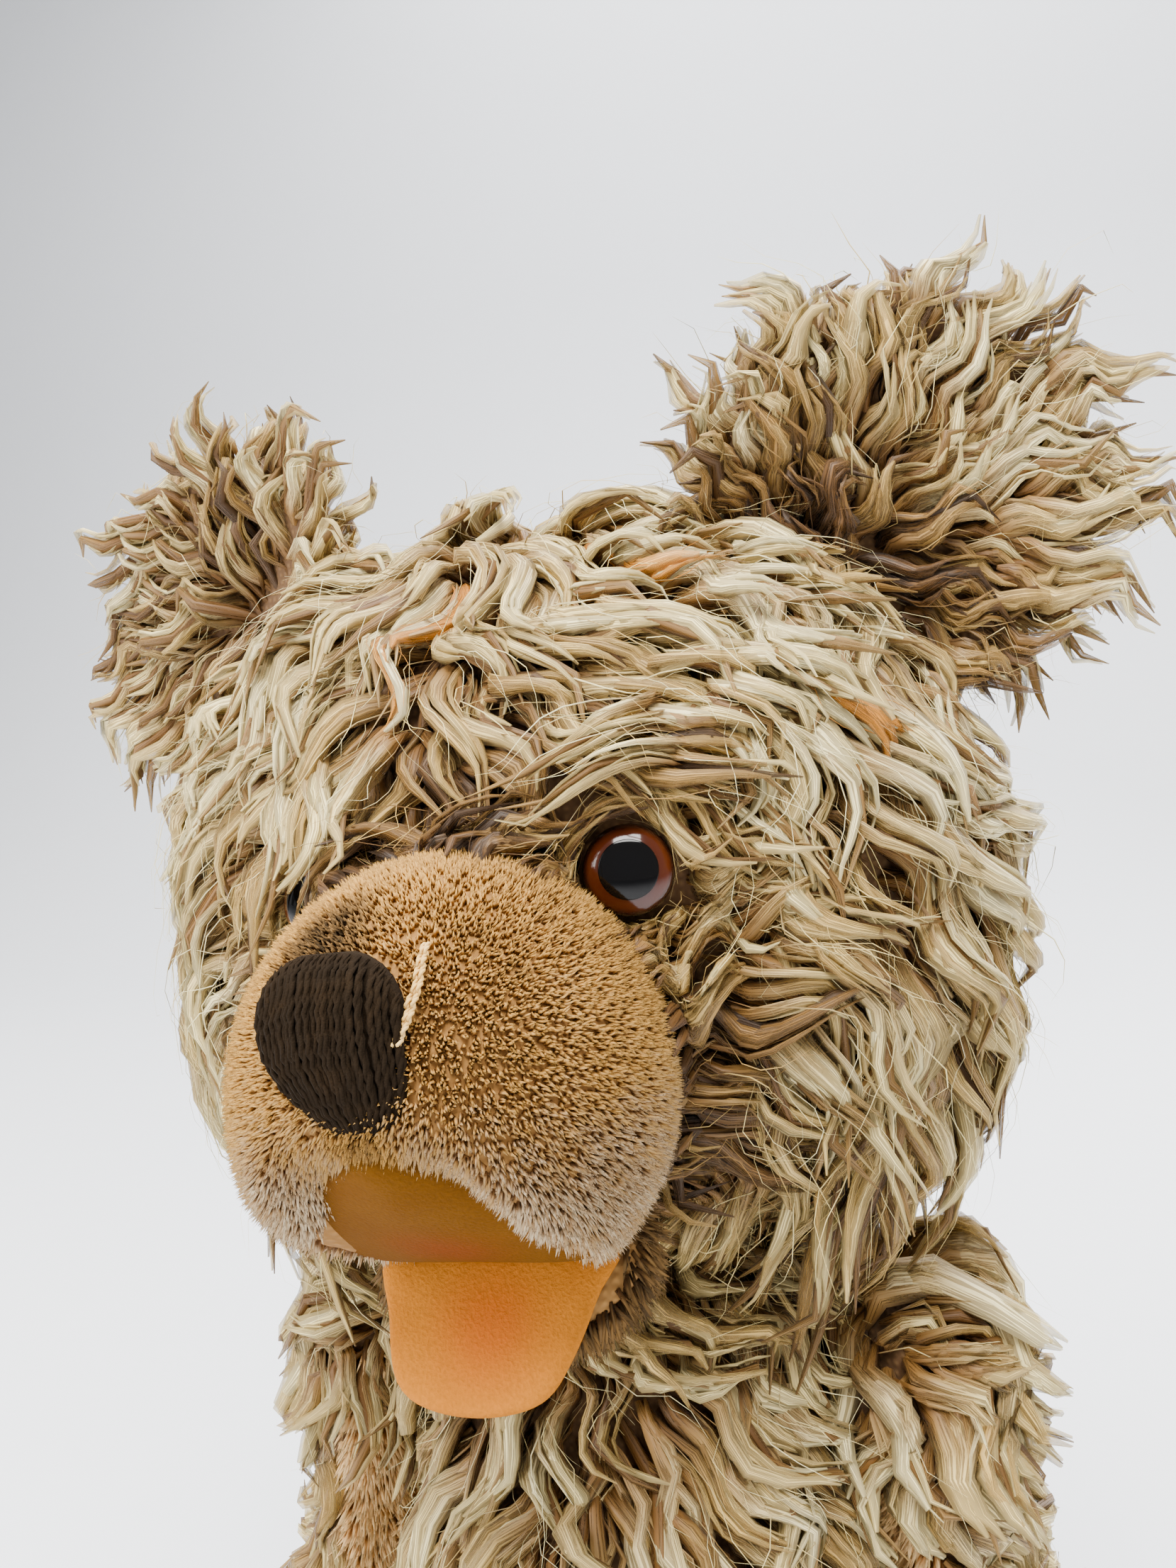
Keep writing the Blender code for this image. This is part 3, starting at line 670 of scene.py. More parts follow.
def map_nodes(graph: Graph, mesh: Wire) -> Wire:
    """Store the pile's own map: tone across, root to tip along."""
    tone = graph.math("MINIMUM", graph.math("MAXIMUM", named(graph, "tone"), 0.0), 0.999)
    across = (graph.math("FLOOR", tone * LANES) + 0.05 + 0.9 * named(graph, "round")) / LANES
    place = graph.combine(across, named(graph, "along"))
    return graph.add("GeometryNodeStoreNamedAttribute", {"data_type": "FLOAT2", "domain": "CORNER"},
                     {"Geometry": mesh, "Name": "OFBake", "Value": place})


def stored(graph: Graph, geometry: Wire, name: str, value: Wire) -> Wire:
    """Keep a number on the geometry's points under a name."""
    return graph.add("GeometryNodeStoreNamedAttribute", {"data_type": "FLOAT", "domain": "POINT"},
                     {"Geometry": geometry, "Name": name, "Value": value})


def profile(graph: Graph, sides: int, flatness: float = 1.0, arch: float = 0.0) -> Wire:
    """A section whose points know how far across they are.

    Args:
        graph: the tree.
        sides: how many sides it has.
        flatness: its thickness as a share of its width.
        arch: how far its two edges bend over, as a share of its half width.

    Returns:
        The section as a curve.
    """
    circle = graph.add("GeometryNodeCurvePrimitiveCircle", None, {"Resolution": sides, "Radius": 1.0})
    flat = graph.add("GeometryNodeTransform", None,
                     {"Geometry": circle, "Scale": (flatness, 1.0, 1.0), "Rotation": (0.0, 0.0, -math.pi / 2)})
    across = graph.split(graph.add("GeometryNodeInputPosition"))
    flat = stored(graph, flat, "round", (across + 1) * 0.5)
    return graph.add("GeometryNodeSetPosition", None,
                     {"Geometry": flat, "Offset": graph.combine(0.0, across * across * arch)})


def lock_tree() -> GeometryTree:
    """The tree that fills each guide with a core, arched strips of fibres and loose hairs."""
    made = GeometryTree("mohair_locks", {
        "Strips": int, "Hairs": int, "Points": int, "Strip Width": float, "Hair Width": float, "Tip Share": float,
        "Frizz": float, "Shortest": float, "Core": float, "Seed": int, "Material": bpy.types.Material})
    g = made.graph
    guides = g.add("GeometryNodeMeshToCurve", None, {"Mesh": made.source})
    locks = g.add("GeometryNodeAttributeDomainSize", {"component": "CURVE"}, {0: guides}, "Spline Count")
    strands = made.input("Strips") + made.input("Hairs")
    spots = g.add("GeometryNodePoints", None, {"Count": locks * strands})
    line = g.add("GeometryNodeResampleCurve", {"mode": "COUNT"},
                 {"Curve": g.add("GeometryNodeCurvePrimitiveLine"), "Count": made.input("Points")})
    many = g.add("GeometryNodeRealizeInstances", None,
                 {0: g.add("GeometryNodeInstanceOnPoints", None, {"Points": spots, "Instance": line})})
    many = g.add("GeometryNodeCaptureAttribute", {"captured": "FLOAT", "domain": "CURVE"},
                 {0: many, 1: g.add("GeometryNodeInputIndex")})
    own = many.other("Value")
    lock = g.math("FLOOR", (own + 0.5) / strands)
    loose = g.math("GREATER_THAN", own - lock * strands, made.input("Strips") - 0.5)
    chance = partial(made.chance, own)

    along = g.add("GeometryNodeSplineParameter")
    reach = along * (1 - (1 - made.input("Shortest")) * chance(1, 0.0, 1.0))
    side, traits = [g.add("GeometryNodeSampleCurve", {"mode": "FACTOR", "data_type": "FLOAT_VECTOR"},
                          {"Curves": guides, "Value": named(g, label, "FLOAT_VECTOR"), "Factor": reach,
                           "Curve Index": lock}) for label in ("side", "traits")]
    spot, tangent = side.other("Position"), side.other("Tangent")
    traits = g.split(traits)
    tone, spread, weight = traits, traits.other("Y"), traits.other("Z")
    rise = g.add("ShaderNodeVectorMath", {"operation": "CROSS_PRODUCT"}, {0: tangent, 1: side})

    turn = chance(2, -0.5, math.pi + 0.5)
    far = g.math("SQRT", chance(3, 0.08, 1.0))
    width = spread * far * (1 - (1 - made.input("Tip Share")) * along + loose * along * 1.6)
    sway = made.input("Frizz") * along * (0.5 + 1.5 * loose)
    waver = g.math("SINE", along * chance(5, 6.0, 11.0) + chance(6, 0.0, math.tau)) * sway
    waver_up = g.math("SINE", along * chance(7, 5.0, 10.0) + chance(8, 0.0, math.tau)) * sway
    moved = (spot + side * (g.math("COSINE", turn) * width + waver)
             + rise * (g.math("SINE", turn) * width * 0.6 + waver_up))
    varied = g.math("MINIMUM", tone + chance(9, -0.13, 0.13) + loose * 0.1, g.math("MAXIMUM", tone, TONES[1]))
    rows = along * (STRIP_ROWS * (1 - loose) + (1 - HAIR_ROWS) * loose) + loose * HAIR_ROWS
    placed = stored(g, stored(g, many, "tone", varied), "along", rows)
    facing = turn + chance(11, -0.5, 0.5)
    placed = g.add("GeometryNodeSetCurveNormal", {"mode": "FREE"},
                   {"Curve": placed, "Normal": rise * g.math("COSINE", facing) - side * g.math("SINE", facing)})
    placed = g.add("GeometryNodeSetPosition", None, {"Geometry": placed, "Position": moved})
    taper = (1 - 0.85 * along ** 3.0) * (0.3 + 0.7 * g.math("MINIMUM", 1.0, along * 4))
    breadth = made.input("Strip Width") * (1 - loose) + made.input("Hair Width") * loose
    hair = g.add("GeometryNodeCurveToMesh", None,
                 {"Curve": placed, "Profile Curve": profile(g, 3, 0.16, 0.3),
                  "Scale": breadth * weight * chance(10, 0.65, 1.35) * taper, "Fill Caps": True})

    core = g.add("GeometryNodeResampleCurve", {"mode": "COUNT"}, {"Curve": guides, "Count": 5})
    own_traits = g.split(named(g, "traits", "FLOAT_VECTOR"))
    # Painted shade: the core's tone is 0.2 darker, for the depth inside the lock.
    core = stored(g, core, "tone", own_traits - 0.2)
    core = stored(g, core, "along", along * 0.35 * STRIP_ROWS)
    bulk = made.input("Core") * own_traits.other("Y") * g.math("SINE", along * 2.3 + 0.75)
    core = g.add("GeometryNodeCurveToMesh", None,
                 {"Curve": core, "Profile Curve": profile(g, 4), "Scale": bulk, "Fill Caps": True})
    both = g.add("GeometryNodeJoinGeometry", None, {0: hair})
    g.tree.links.new(core.socket, both.socket.node.inputs[0])
    made.close(map_nodes(g, both))
    return made


def pile_tree() -> GeometryTree:
    """The tree that stands short pile on a skin, clumped into tufts."""
    made = GeometryTree("short_pile", {
        "Density": float, "Width": float, "Clump Size": float, "Clump": float, "Jitter": float, "Seed": int,
        "Material": bpy.types.Material})
    g = made.graph
    spots = g.add("GeometryNodeDistributePointsOnFaces", None,
                  {"Mesh": made.source, "Density": made.input("Density") * named(g, "amount"),
                   "Seed": made.input("Seed")})
    normal = spots.other("Normal")
    chance = partial(made.chance, g.add("GeometryNodeInputIndex"))
    place = g.add("GeometryNodeInputPosition")
    cell = g.add("ShaderNodeTexVoronoi", None, {"Vector": place, "Scale": 1 / made.input("Clump Size")}, "Position")
    inward = (cell - place) * made.input("Clump")
    scatter = g.combine(chance(1, -1, 1), chance(2, -1, 1), chance(3, -1, 1))
    aim = normal + named(g, "lean", "FLOAT_VECTOR") + inward + scatter * made.input("Jitter")
    turn = g.add("FunctionNodeAlignRotationToVector", {"axis": "Z"}, {"Vector": aim})
    cone = g.add("GeometryNodeMeshCone", {"fill_type": "NGON"},
                 {"Vertices": 3, "Radius Top": 0.0, "Radius Bottom": 1.0, "Depth": 1.0})
    height = g.split(g.add("GeometryNodeInputPosition")).other("Z")
    cone = stored(g, cone, "along", height * STRIP_ROWS)
    cone = stored(g, cone, "round", g.add("GeometryNodeInputIndex") / 4)
    width = made.input("Width") * chance(5, 0.7, 1.3)
    size = g.combine(width, width, named(g, "length") * chance(6, 0.65, 1.15))
    spots = stored(g, spots, "tone", named(g, "tone") + chance(7, -0.1, 0.1))
    many = g.add("GeometryNodeInstanceOnPoints", None,
                 {"Points": spots, "Instance": cone, "Rotation": turn, "Scale": size})
    whole = g.add("GeometryNodeRealizeInstances", None, {0: many})
    made.close(map_nodes(g, whole))
    return made


def thread_tree() -> GeometryTree:
    """The tree that lays a two-ply thread along each guide."""
    made = GeometryTree("two_ply_thread", {
        "Points": int, "Ply Radius": float, "Twist": float, "Sides": int, "Material": bpy.types.Material})
    g = made.graph
    guides = g.add("GeometryNodeCurveSplineType", {"spline_type": "CATMULL_ROM"},
                   {0: g.add("GeometryNodeMeshToCurve", None, {"Mesh": made.source})})
    line = g.add("GeometryNodeResampleCurve", {"mode": "COUNT"}, {"Curve": guides, "Count": made.input("Points")})
    parameter = g.add("GeometryNodeSplineParameter")
    normal, tangent = g.add("GeometryNodeInputNormal"), g.add("GeometryNodeInputTangent")
    across = g.add("ShaderNodeVectorMath", {"operation": "CROSS_PRODUCT"}, {0: tangent, 1: normal})
    both = None
    for ply in (0.0, math.pi):
        angle = parameter.other("Length") * made.input("Twist") + ply
        ends = g.math("MINIMUM", 1.0, g.math("MULTIPLY", 7.0, parameter * (1 - parameter)) + 0.35)
        offset = (normal * g.math("COSINE", angle) + across * g.math("SINE", angle)) * made.input("Ply Radius")
        laid = g.add("GeometryNodeSetPosition", None, {"Geometry": line, "Offset": offset * 0.75})
        tube = g.add("GeometryNodeCurveToMesh", None,
                     {"Curve": laid, "Profile Curve": g.add("GeometryNodeCurvePrimitiveCircle", None,
                                                            {"Resolution": made.input("Sides"), "Radius": 1.0}),
                      "Scale": made.input("Ply Radius") * ends, "Fill Caps": True})
        if both is None:
            both = g.add("GeometryNodeJoinGeometry", None, {0: tube})
        else:
            g.tree.links.new(tube.socket, both.socket.node.inputs[0])
    made.close(both)
    return made


LOCKS = lock_tree()
PILE = pile_tree()
THREAD = thread_tree()


def guide_mesh(name: str, lines: Array, values: dict[str, Array] | None = None) -> bpy.types.Mesh:
    """Guides as a mesh of edges.

    Args:
        name: the mesh's name.
        lines: points of each guide in the bear's frame, in millimetres: guides by points by 3.
        values: a vector for each point of each guide, by attribute name.

    Returns:
        The mesh.
    """
    count, length, _ = lines.shape
    starts = np.arange(count)[:, None] * length + np.arange(length - 1)[None]
    edges = np.stack([starts, starts + 1], -1).reshape(-1, 2)
    mesh = bpy.data.meshes.new(name)
    mesh.from_pydata((lines.reshape(-1, 3) * MM).tolist(), edges.tolist(), [])
    keep_values(mesh, values or {})
    return mesh


def pile_values(skin: Piece, place: Place, amount: Array, tone: Array | float, length: Array | float,
                lean: Array | Triple) -> None:
    """Give a skin the values that its short pile grows by.

    Args:
        skin: the skin.
        place: the frame that the lean is laid out in.
        amount: the share of the pile that stands at each point.
        tone: its tone.
        length: its length in millimetres.
        lean: the way it leans, as far as the vector is long.
    """
    count = len(amount)
    keep_values(skin.data, {"amount": amount, "tone": np.broadcast_to(tone, count),
                            "length": np.broadcast_to(length, count) * MM,
                            "lean": place.aim(np.broadcast_to(lean, (count, 3)))})


# ---------------------------------------- forms


def apart(points: Array, gaps: Array) -> list[int]:
    """Which of a row of points keep their gap from all that were chosen before them."""
    chosen: list[int] = []
    kept = points[chosen]
    for index, (point, gap) in enumerate(zip(points, gaps)):
        if not chosen or np.min(np.sum((kept - point) ** 2, axis=1)) >= gap * gap:
            chosen.append(index)
            kept = points[chosen]
    return chosen


class Form:
    """A rounded surface that locks stand and lie on."""

    def level(self, points: Array) -> Array:
        """A number at each point that grows outward."""
        raise NotImplementedError

    def normal(self, points: Array) -> Array:
        """Outward directions at points."""
        moves = np.eye(3) * 0.4
        return unit(np.stack([self.level(points + move) - self.level(points - move) for move in moves], -1))

    def lift(self, points: Array, height: Array | float) -> Array:
        """The points moved to a height over the surface."""
        raise NotImplementedError

    def sample(self, rng: Random, count: int) -> Array:
        """Random points, even over the surface."""
        raise NotImplementedError

    def roots(self, rng: Random, spacing: Callable[[Array], Array], tries: int) -> Array:
        """Points on the surface that keep a distance from each other.

        Args:
            rng: the source of chance.
            spacing: the distance wanted at points; zero or less drops a point.
            tries: how many points are tried.

        Returns:
            The points that are kept.
        """
        points = self.sample(rng, tries)
        gaps = spacing(points)
        points, gaps = points[gaps > 0], gaps[gaps > 0]
        return points[apart(points, gaps)]


@dataclass(frozen=True)
class Egg(Form):
    """An ellipsoid whose front is flatter than its back."""

    centre: Triple
    half: Triple
    front: float

    def halves(self, towards: Array) -> Array:
        """The half sizes that hold toward each direction from the centre."""
        return np.where(towards[:, 1:2] < 0, (self.half[0], self.front, self.half[2]), self.half).astype(float)

    def at(self, towards: Array) -> Array:
        """The points of the surface toward unit directions."""
        return np.array(self.centre) + towards * self.halves(towards)

    def _parts(self, points: Array) -> tuple[Array, Array, Array]:
        """Points from the centre, the half sizes that hold there, and how far out the points are."""
        local = points - np.array(self.centre)
        half = self.halves(local)
        return local, half, np.linalg.norm(local / half, axis=1)

    def normal(self, points: Array) -> Array:
        """Outward directions at points."""
        local, half, _ = self._parts(points)
        return unit(local / half ** 2)

    def lift(self, points: Array, height: Array | float) -> Array:
        """The points moved to a height over the surface."""
        local, _, ratio = self._parts(points)
        return np.array(self.centre) + local / ratio[:, None] + self.normal(points) * np.reshape(height, (-1, 1))

    def away(self, points: Array) -> Array:
        """About how far each point is outside the surface."""
        local, half, ratio = self._parts(points)
        return ratio * (ratio - 1) / np.maximum(np.linalg.norm(local / half ** 2, axis=1), 1e-4)

    def sample(self, rng: Random, count: int) -> Array:
        """Random points, even over the surface."""
        directions = unit(rng.normal(size=(count * 3, 3)))
        half = self.halves(directions)
        weight = np.linalg.norm(directions / half, axis=1) * np.prod(half, axis=1)
        keep = rng.random(len(directions)) < weight / weight.max()
        return self.at(directions)[keep][:count]


@dataclass(frozen=True)
class Merged(Form):
    """Eggs that run softly into each other."""

    eggs: tuple[Egg, ...]
    soft: float = 7.0

    def level(self, points: Array) -> Array:
        """About how far each point is outside the surface."""
        near, *others = [egg.away(points) for egg in self.eggs]
        for other in others:
            share = np.clip(0.5 + 0.5 * (other - near) / self.soft, 0, 1)
            near = other * (1 - share) + near * share - self.soft * share * (1 - share)
        return near

    def lift(self, points: Array, height: Array | float) -> Array:
        """The points moved to a height over the surface."""
        for _ in range(3):
            points = points + self.normal(points) * np.reshape(height - self.level(points), (-1, 1))
        return points

    def sample(self, rng: Random, count: int) -> Array:
        """Random points, even over the surface."""
        points = np.vstack([egg.sample(rng, count) for egg in self.eggs])
        points = points[self.level(points) > -self.soft * 0.4]
        return self.lift(rng.permutation(points), 0.0)


@dataclass(frozen=True)
class Loft(Form):
    """A round form through stations: along, middle across, middle deep, half across, half deep."""

    stations: tuple[tuple[float, ...], ...]

    @cached_property
    def table(self) -> Array:
        """The stations on a smooth curve, close together."""
        return through(np.array(self.stations, float), 120)

    def _at(self, along: Array) -> tuple[Array, Array]:
        """Middle and half sizes at places along the form."""
        table = self.table
        found = [np.interp(along, table[:, 0], table[:, column]) for column in range(1, 5)]
        return np.stack(found[:2], -1), np.maximum(np.stack(found[2:], -1), 0.5)

    def level(self, points: Array) -> Array:
        """How far out each point is: 1 on the surface."""
        middle, half = self._at(points[:, 2])
        return np.linalg.norm((points[:, :2] - middle) / half, axis=1)

    def lift(self, points: Array, height: Array | float) -> Array:
        """The points moved to a height over the surface."""
        middle, _ = self._at(points[:, 2])
        ratio = np.maximum(self.level(points), 1e-3)[:, None]
        flat = np.hstack([middle + (points[:, :2] - middle) / ratio, points[:, 2:]])
        return flat + self.normal(points) * np.reshape(height, (-1, 1))

    def sample(self, rng: Random, count: int) -> Array:
        """Random points, even over the surface."""
        along = rng.uniform(self.table[0, 0], self.table[-1, 0], count * 3)
        middle, half = self._at(along)
        keep = rng.random(len(along)) < half.sum(axis=1) / half.sum(axis=1).max()
        angle = rng.uniform(0, math.tau, len(along))
        ring = middle + half * np.stack([np.cos(angle), np.sin(angle)], -1)
        return np.hstack([ring, along[:, None]])[keep][:count]

    def surface(self, rings: int, segments: int) -> tuple[Array, list[Face]]:
        """Points and faces of the closed form."""
        along = np.linspace(self.table[0, 0], self.table[-1, 0], rings)
        middle, half = self._at(along)
        angle = np.linspace(0, math.tau, segments, endpoint=False)
        circle = np.stack([np.cos(angle), np.sin(angle)], -1)
        ring = middle[:, None] + half[:, None] * circle[None]
        depth = np.broadcast_to(along[:, None, None], (rings, segments, 1))
        body = np.concatenate([ring, depth], -1).reshape(-1, 3)
        ends = np.hstack([middle[[0, -1]], along[[0, -1], None]])
        return np.vstack([body, ends]), ring_faces(rings, segments)


# ---------------------------------------- locks


@dataclass
class LockSet:
    """Guides of locks: a spine, a sideways direction along it, and tone, spread and weight."""

    spine: Array
    side: Array
    traits: Array

    def __len__(self) -> int:
        """How many locks there are."""
        return len(self.spine)

    def part(self, keep: Array) -> "LockSet":
        """Some of the locks."""
        return LockSet(self.spine[keep], self.side[keep], self.traits[keep])

    def moved(self, place: Place) -> "LockSet":
        """The locks in the bear's frame."""
        return LockSet(place.out(self.spine), place.aim(self.side), self.traits)

    def plus(self, other: "LockSet") -> "LockSet":
        """Two sets together."""
        return LockSet(*map(np.concatenate, zip(vars(self).values(), vars(other).values())))

    def grow(self, name: str, finish: Finish, seed: int, strips: int, hairs: int, points: int, width: float,
             tip: float = 0.4, frizz: float = 1.0, shortest: float = 0.5, core: float = 0.26) -> Piece:
        """Fill the locks.

        Args:
            name: the piece's name.
            finish: the coat's finish.
            seed: the seed of everything random in the tree.
            strips: how many strips of fibres a lock has.
            hairs: how many hairs hang loose round it.
            points: how many points a strip has.
            width: half a strip's width in millimetres.
            tip: the share of the lock's spread that is left at its tip.
            frizz: how far a strip wavers, in millimetres.
            shortest: the shortest strip as a share of its lock.
            core: the lock's filled middle as a share of its spread.

        Returns:
            The piece.
        """
        traits = np.repeat((self.traits * (1, MM, 1))[:, None], self.spine.shape[1], axis=1)
        base = guide_mesh(name, self.spine, {"side": self.side, "traits": traits})
        made = LOCKS.grow(name, base, finish, Strips=strips, Hairs=hairs, Points=points, Strip_Width=width * MM,
                          Hair_Width=HAIR_WIDTH * MM, Tip_Share=tip, Frizz=frizz * MM, Shortest=shortest, Core=core,
                          Seed=seed)
        places = np.empty(len(made.data.vertices) * 3, np.float32)
        made.data.vertices.foreach_get("co", places)
        places[2::3] = np.maximum(places[2::3], FLOOR_CLEAR * MM)
        made.data.vertices.foreach_set("co", places)
        return made


@dataclass(frozen=True)
class Habit:
    """How locks of one region stand, wave and curl; sizes in millimetres."""

    length: float = 26
    height: float = 6.5
    wave: float = 3.5
    turns: float = 1.4
    swirl: float = 28
    spread: float = 4.7
    tone: float = 0.58
    tone_range: float = 0.16
    flick: float = 3.0
    knots: int = 14


def lay_locks(form: Form, roots: Array, comb: Callable[[Array], Array], habit: Habit, rng: Random,
              length: Array | float = 1.0, height: Array | float = 1.0, tone: Array | float = 0.0,
              hang: Array | float = 0.0) -> LockSet:
    """Grow a lock from each root, over the form and along its comb.

    Args:
        form: the surface.
        roots: where the locks start.
        comb: the way the coat is combed at points.
        habit: how the locks stand.
        rng: the source of chance.
        length: a factor on each lock's length.
        height: a factor on each lock's height.
        tone: a shift of each lock's tone.
        hang: how freely a lock hangs where the form turns under it, 0 to 1.

    Returns:
        The locks.
    """
    count = len(roots)
    length = habit.length * length * rng.uniform(0.72, 1.18, count)
    height = habit.height * height * rng.uniform(0.55, 1.25, count)
    angle = np.radians(habit.swirl) * (1.5 * soft_noise(roots, 28, 3.1) + 0.5 * soft_noise(roots, 10, 7.7))
    angle += np.radians(7) * rng.normal(size=count)
    phase = math.tau * (1.1 * soft_noise(roots, 26, 5.5) + rng.uniform(-0.1, 0.1, count))
    wave = habit.wave * rng.uniform(0.55, 1.35, count) * np.minimum(1, length / 18)
    flick = habit.flick * rng.uniform(-0.4, 1.0, count)
    hook = rng.normal(size=count) * 0.5

    def heading(points: Array, normals: Array) -> Array:
        """The combed way in the surface, turned by each lock's own angle."""
        raw = comb(points)
        flat = unit(raw - normals * np.sum(raw * normals, axis=1, keepdims=True))
        across = np.cross(normals, flat)
        return flat * np.cos(angle)[:, None] + across * np.sin(angle)[:, None]

    foot = form.lift(roots, 0.0)
    way = heading(foot, form.normal(foot))
    spine, sides = [], []
    for knot in range(habit.knots):
        part = knot / (habit.knots - 1)
        normals = form.normal(foot)
        fresh = heading(foot, normals)
        way = unit(way * 0.75 + fresh * 0.25)
        way = unit(way - normals * np.sum(way * normals, axis=1, keepdims=True))
        side = np.cross(normals, way)
        rise = height * (1 - (1 - part) ** 2.4) + flick * max(0.0, part - 0.55) ** 2 / 0.2 - 0.6
        rise = rise + 0.6 * wave * min(1.0, part * 2) * np.sin(math.tau * (habit.turns * part + 0.25) + phase)
        swing = wave * min(1.0, part * 2.2) * np.sin(math.tau * habit.turns * part + phase) + hook * part ** 3 * 6
        spine.append(foot + normals * rise[:, None] + side * swing[:, None])
        sides.append(side)
        loose = (hang * ease(0.1, -0.25, normals[:, 2]))[:, None]
        way = unit(way * (1 - 0.5 * loose) + np.array((0, 0, -0.5)) * loose)
        step = length / (habit.knots - 1) * (0.55 + 0.6 * min(1.0, part * 2.5))
        free = foot + way * step[:, None]
        foot = free * loose + form.lift(free, 0.0) * (1 - loose)
    shade = habit.tone + habit.tone_range * (rng.random(count) - 0.5) * 2 + tone
    spread = habit.spread * rng.uniform(0.75, 1.3, count)
    traits = np.stack([np.clip(shade, *TONES), spread, rng.uniform(0.85, 1.15, count)], -1)
    return LockSet(np.stack(spine, 1), np.stack(sides, 1), traits)


def off_axis(points: Array, centre: Array, axis: Array) -> tuple[Array, Array]:
    """How far points are along an axis that leaves a centre, and the way to each of them off the axis."""
    line = unit(axis)
    along = (points - centre) @ line
    return along, points - centre - along[..., None] * line


def beside(spine: Array, centre: Array, axis: Array) -> Array:
    """How far the knots of spines are from an axis; far for those well behind its centre."""
    along, flat = off_axis(spine, centre, axis)
    return np.where(along > -8, np.linalg.norm(flat, axis=-1), 99.0)


def push_out(spine: Array, centre: Array, axis: Array, radius: float) -> Array:
    """Spines moved sideways out of a round clearing about an axis."""
    _, flat = off_axis(spine, centre, axis)
    need = np.maximum(radius - beside(spine, centre, axis), 0)
    return spine + flat / np.maximum(np.linalg.norm(flat, axis=-1), 0.3)[..., None] * need[..., None]


# ---------------------------------------- the bear


@dataclass(frozen=True)
class LoneLock:
    """One lock laid through given points of the skull's frame."""

    points: tuple[Triple, ...]
    tone: float = 0.78
    spread: float = 2.2
    flat: Triple = (0, -1, 0)

    def guide(self, knots: int) -> LockSet:
        """The lock as a guide of evenly spread knots."""
        line = through(np.array(self.points, float), knots)
        side = unit(np.cross(np.gradient(line, axis=0), -np.array(self.flat)))
        return LockSet(line[None], side[None], np.array([(self.tone, self.spread, 1.0)]))


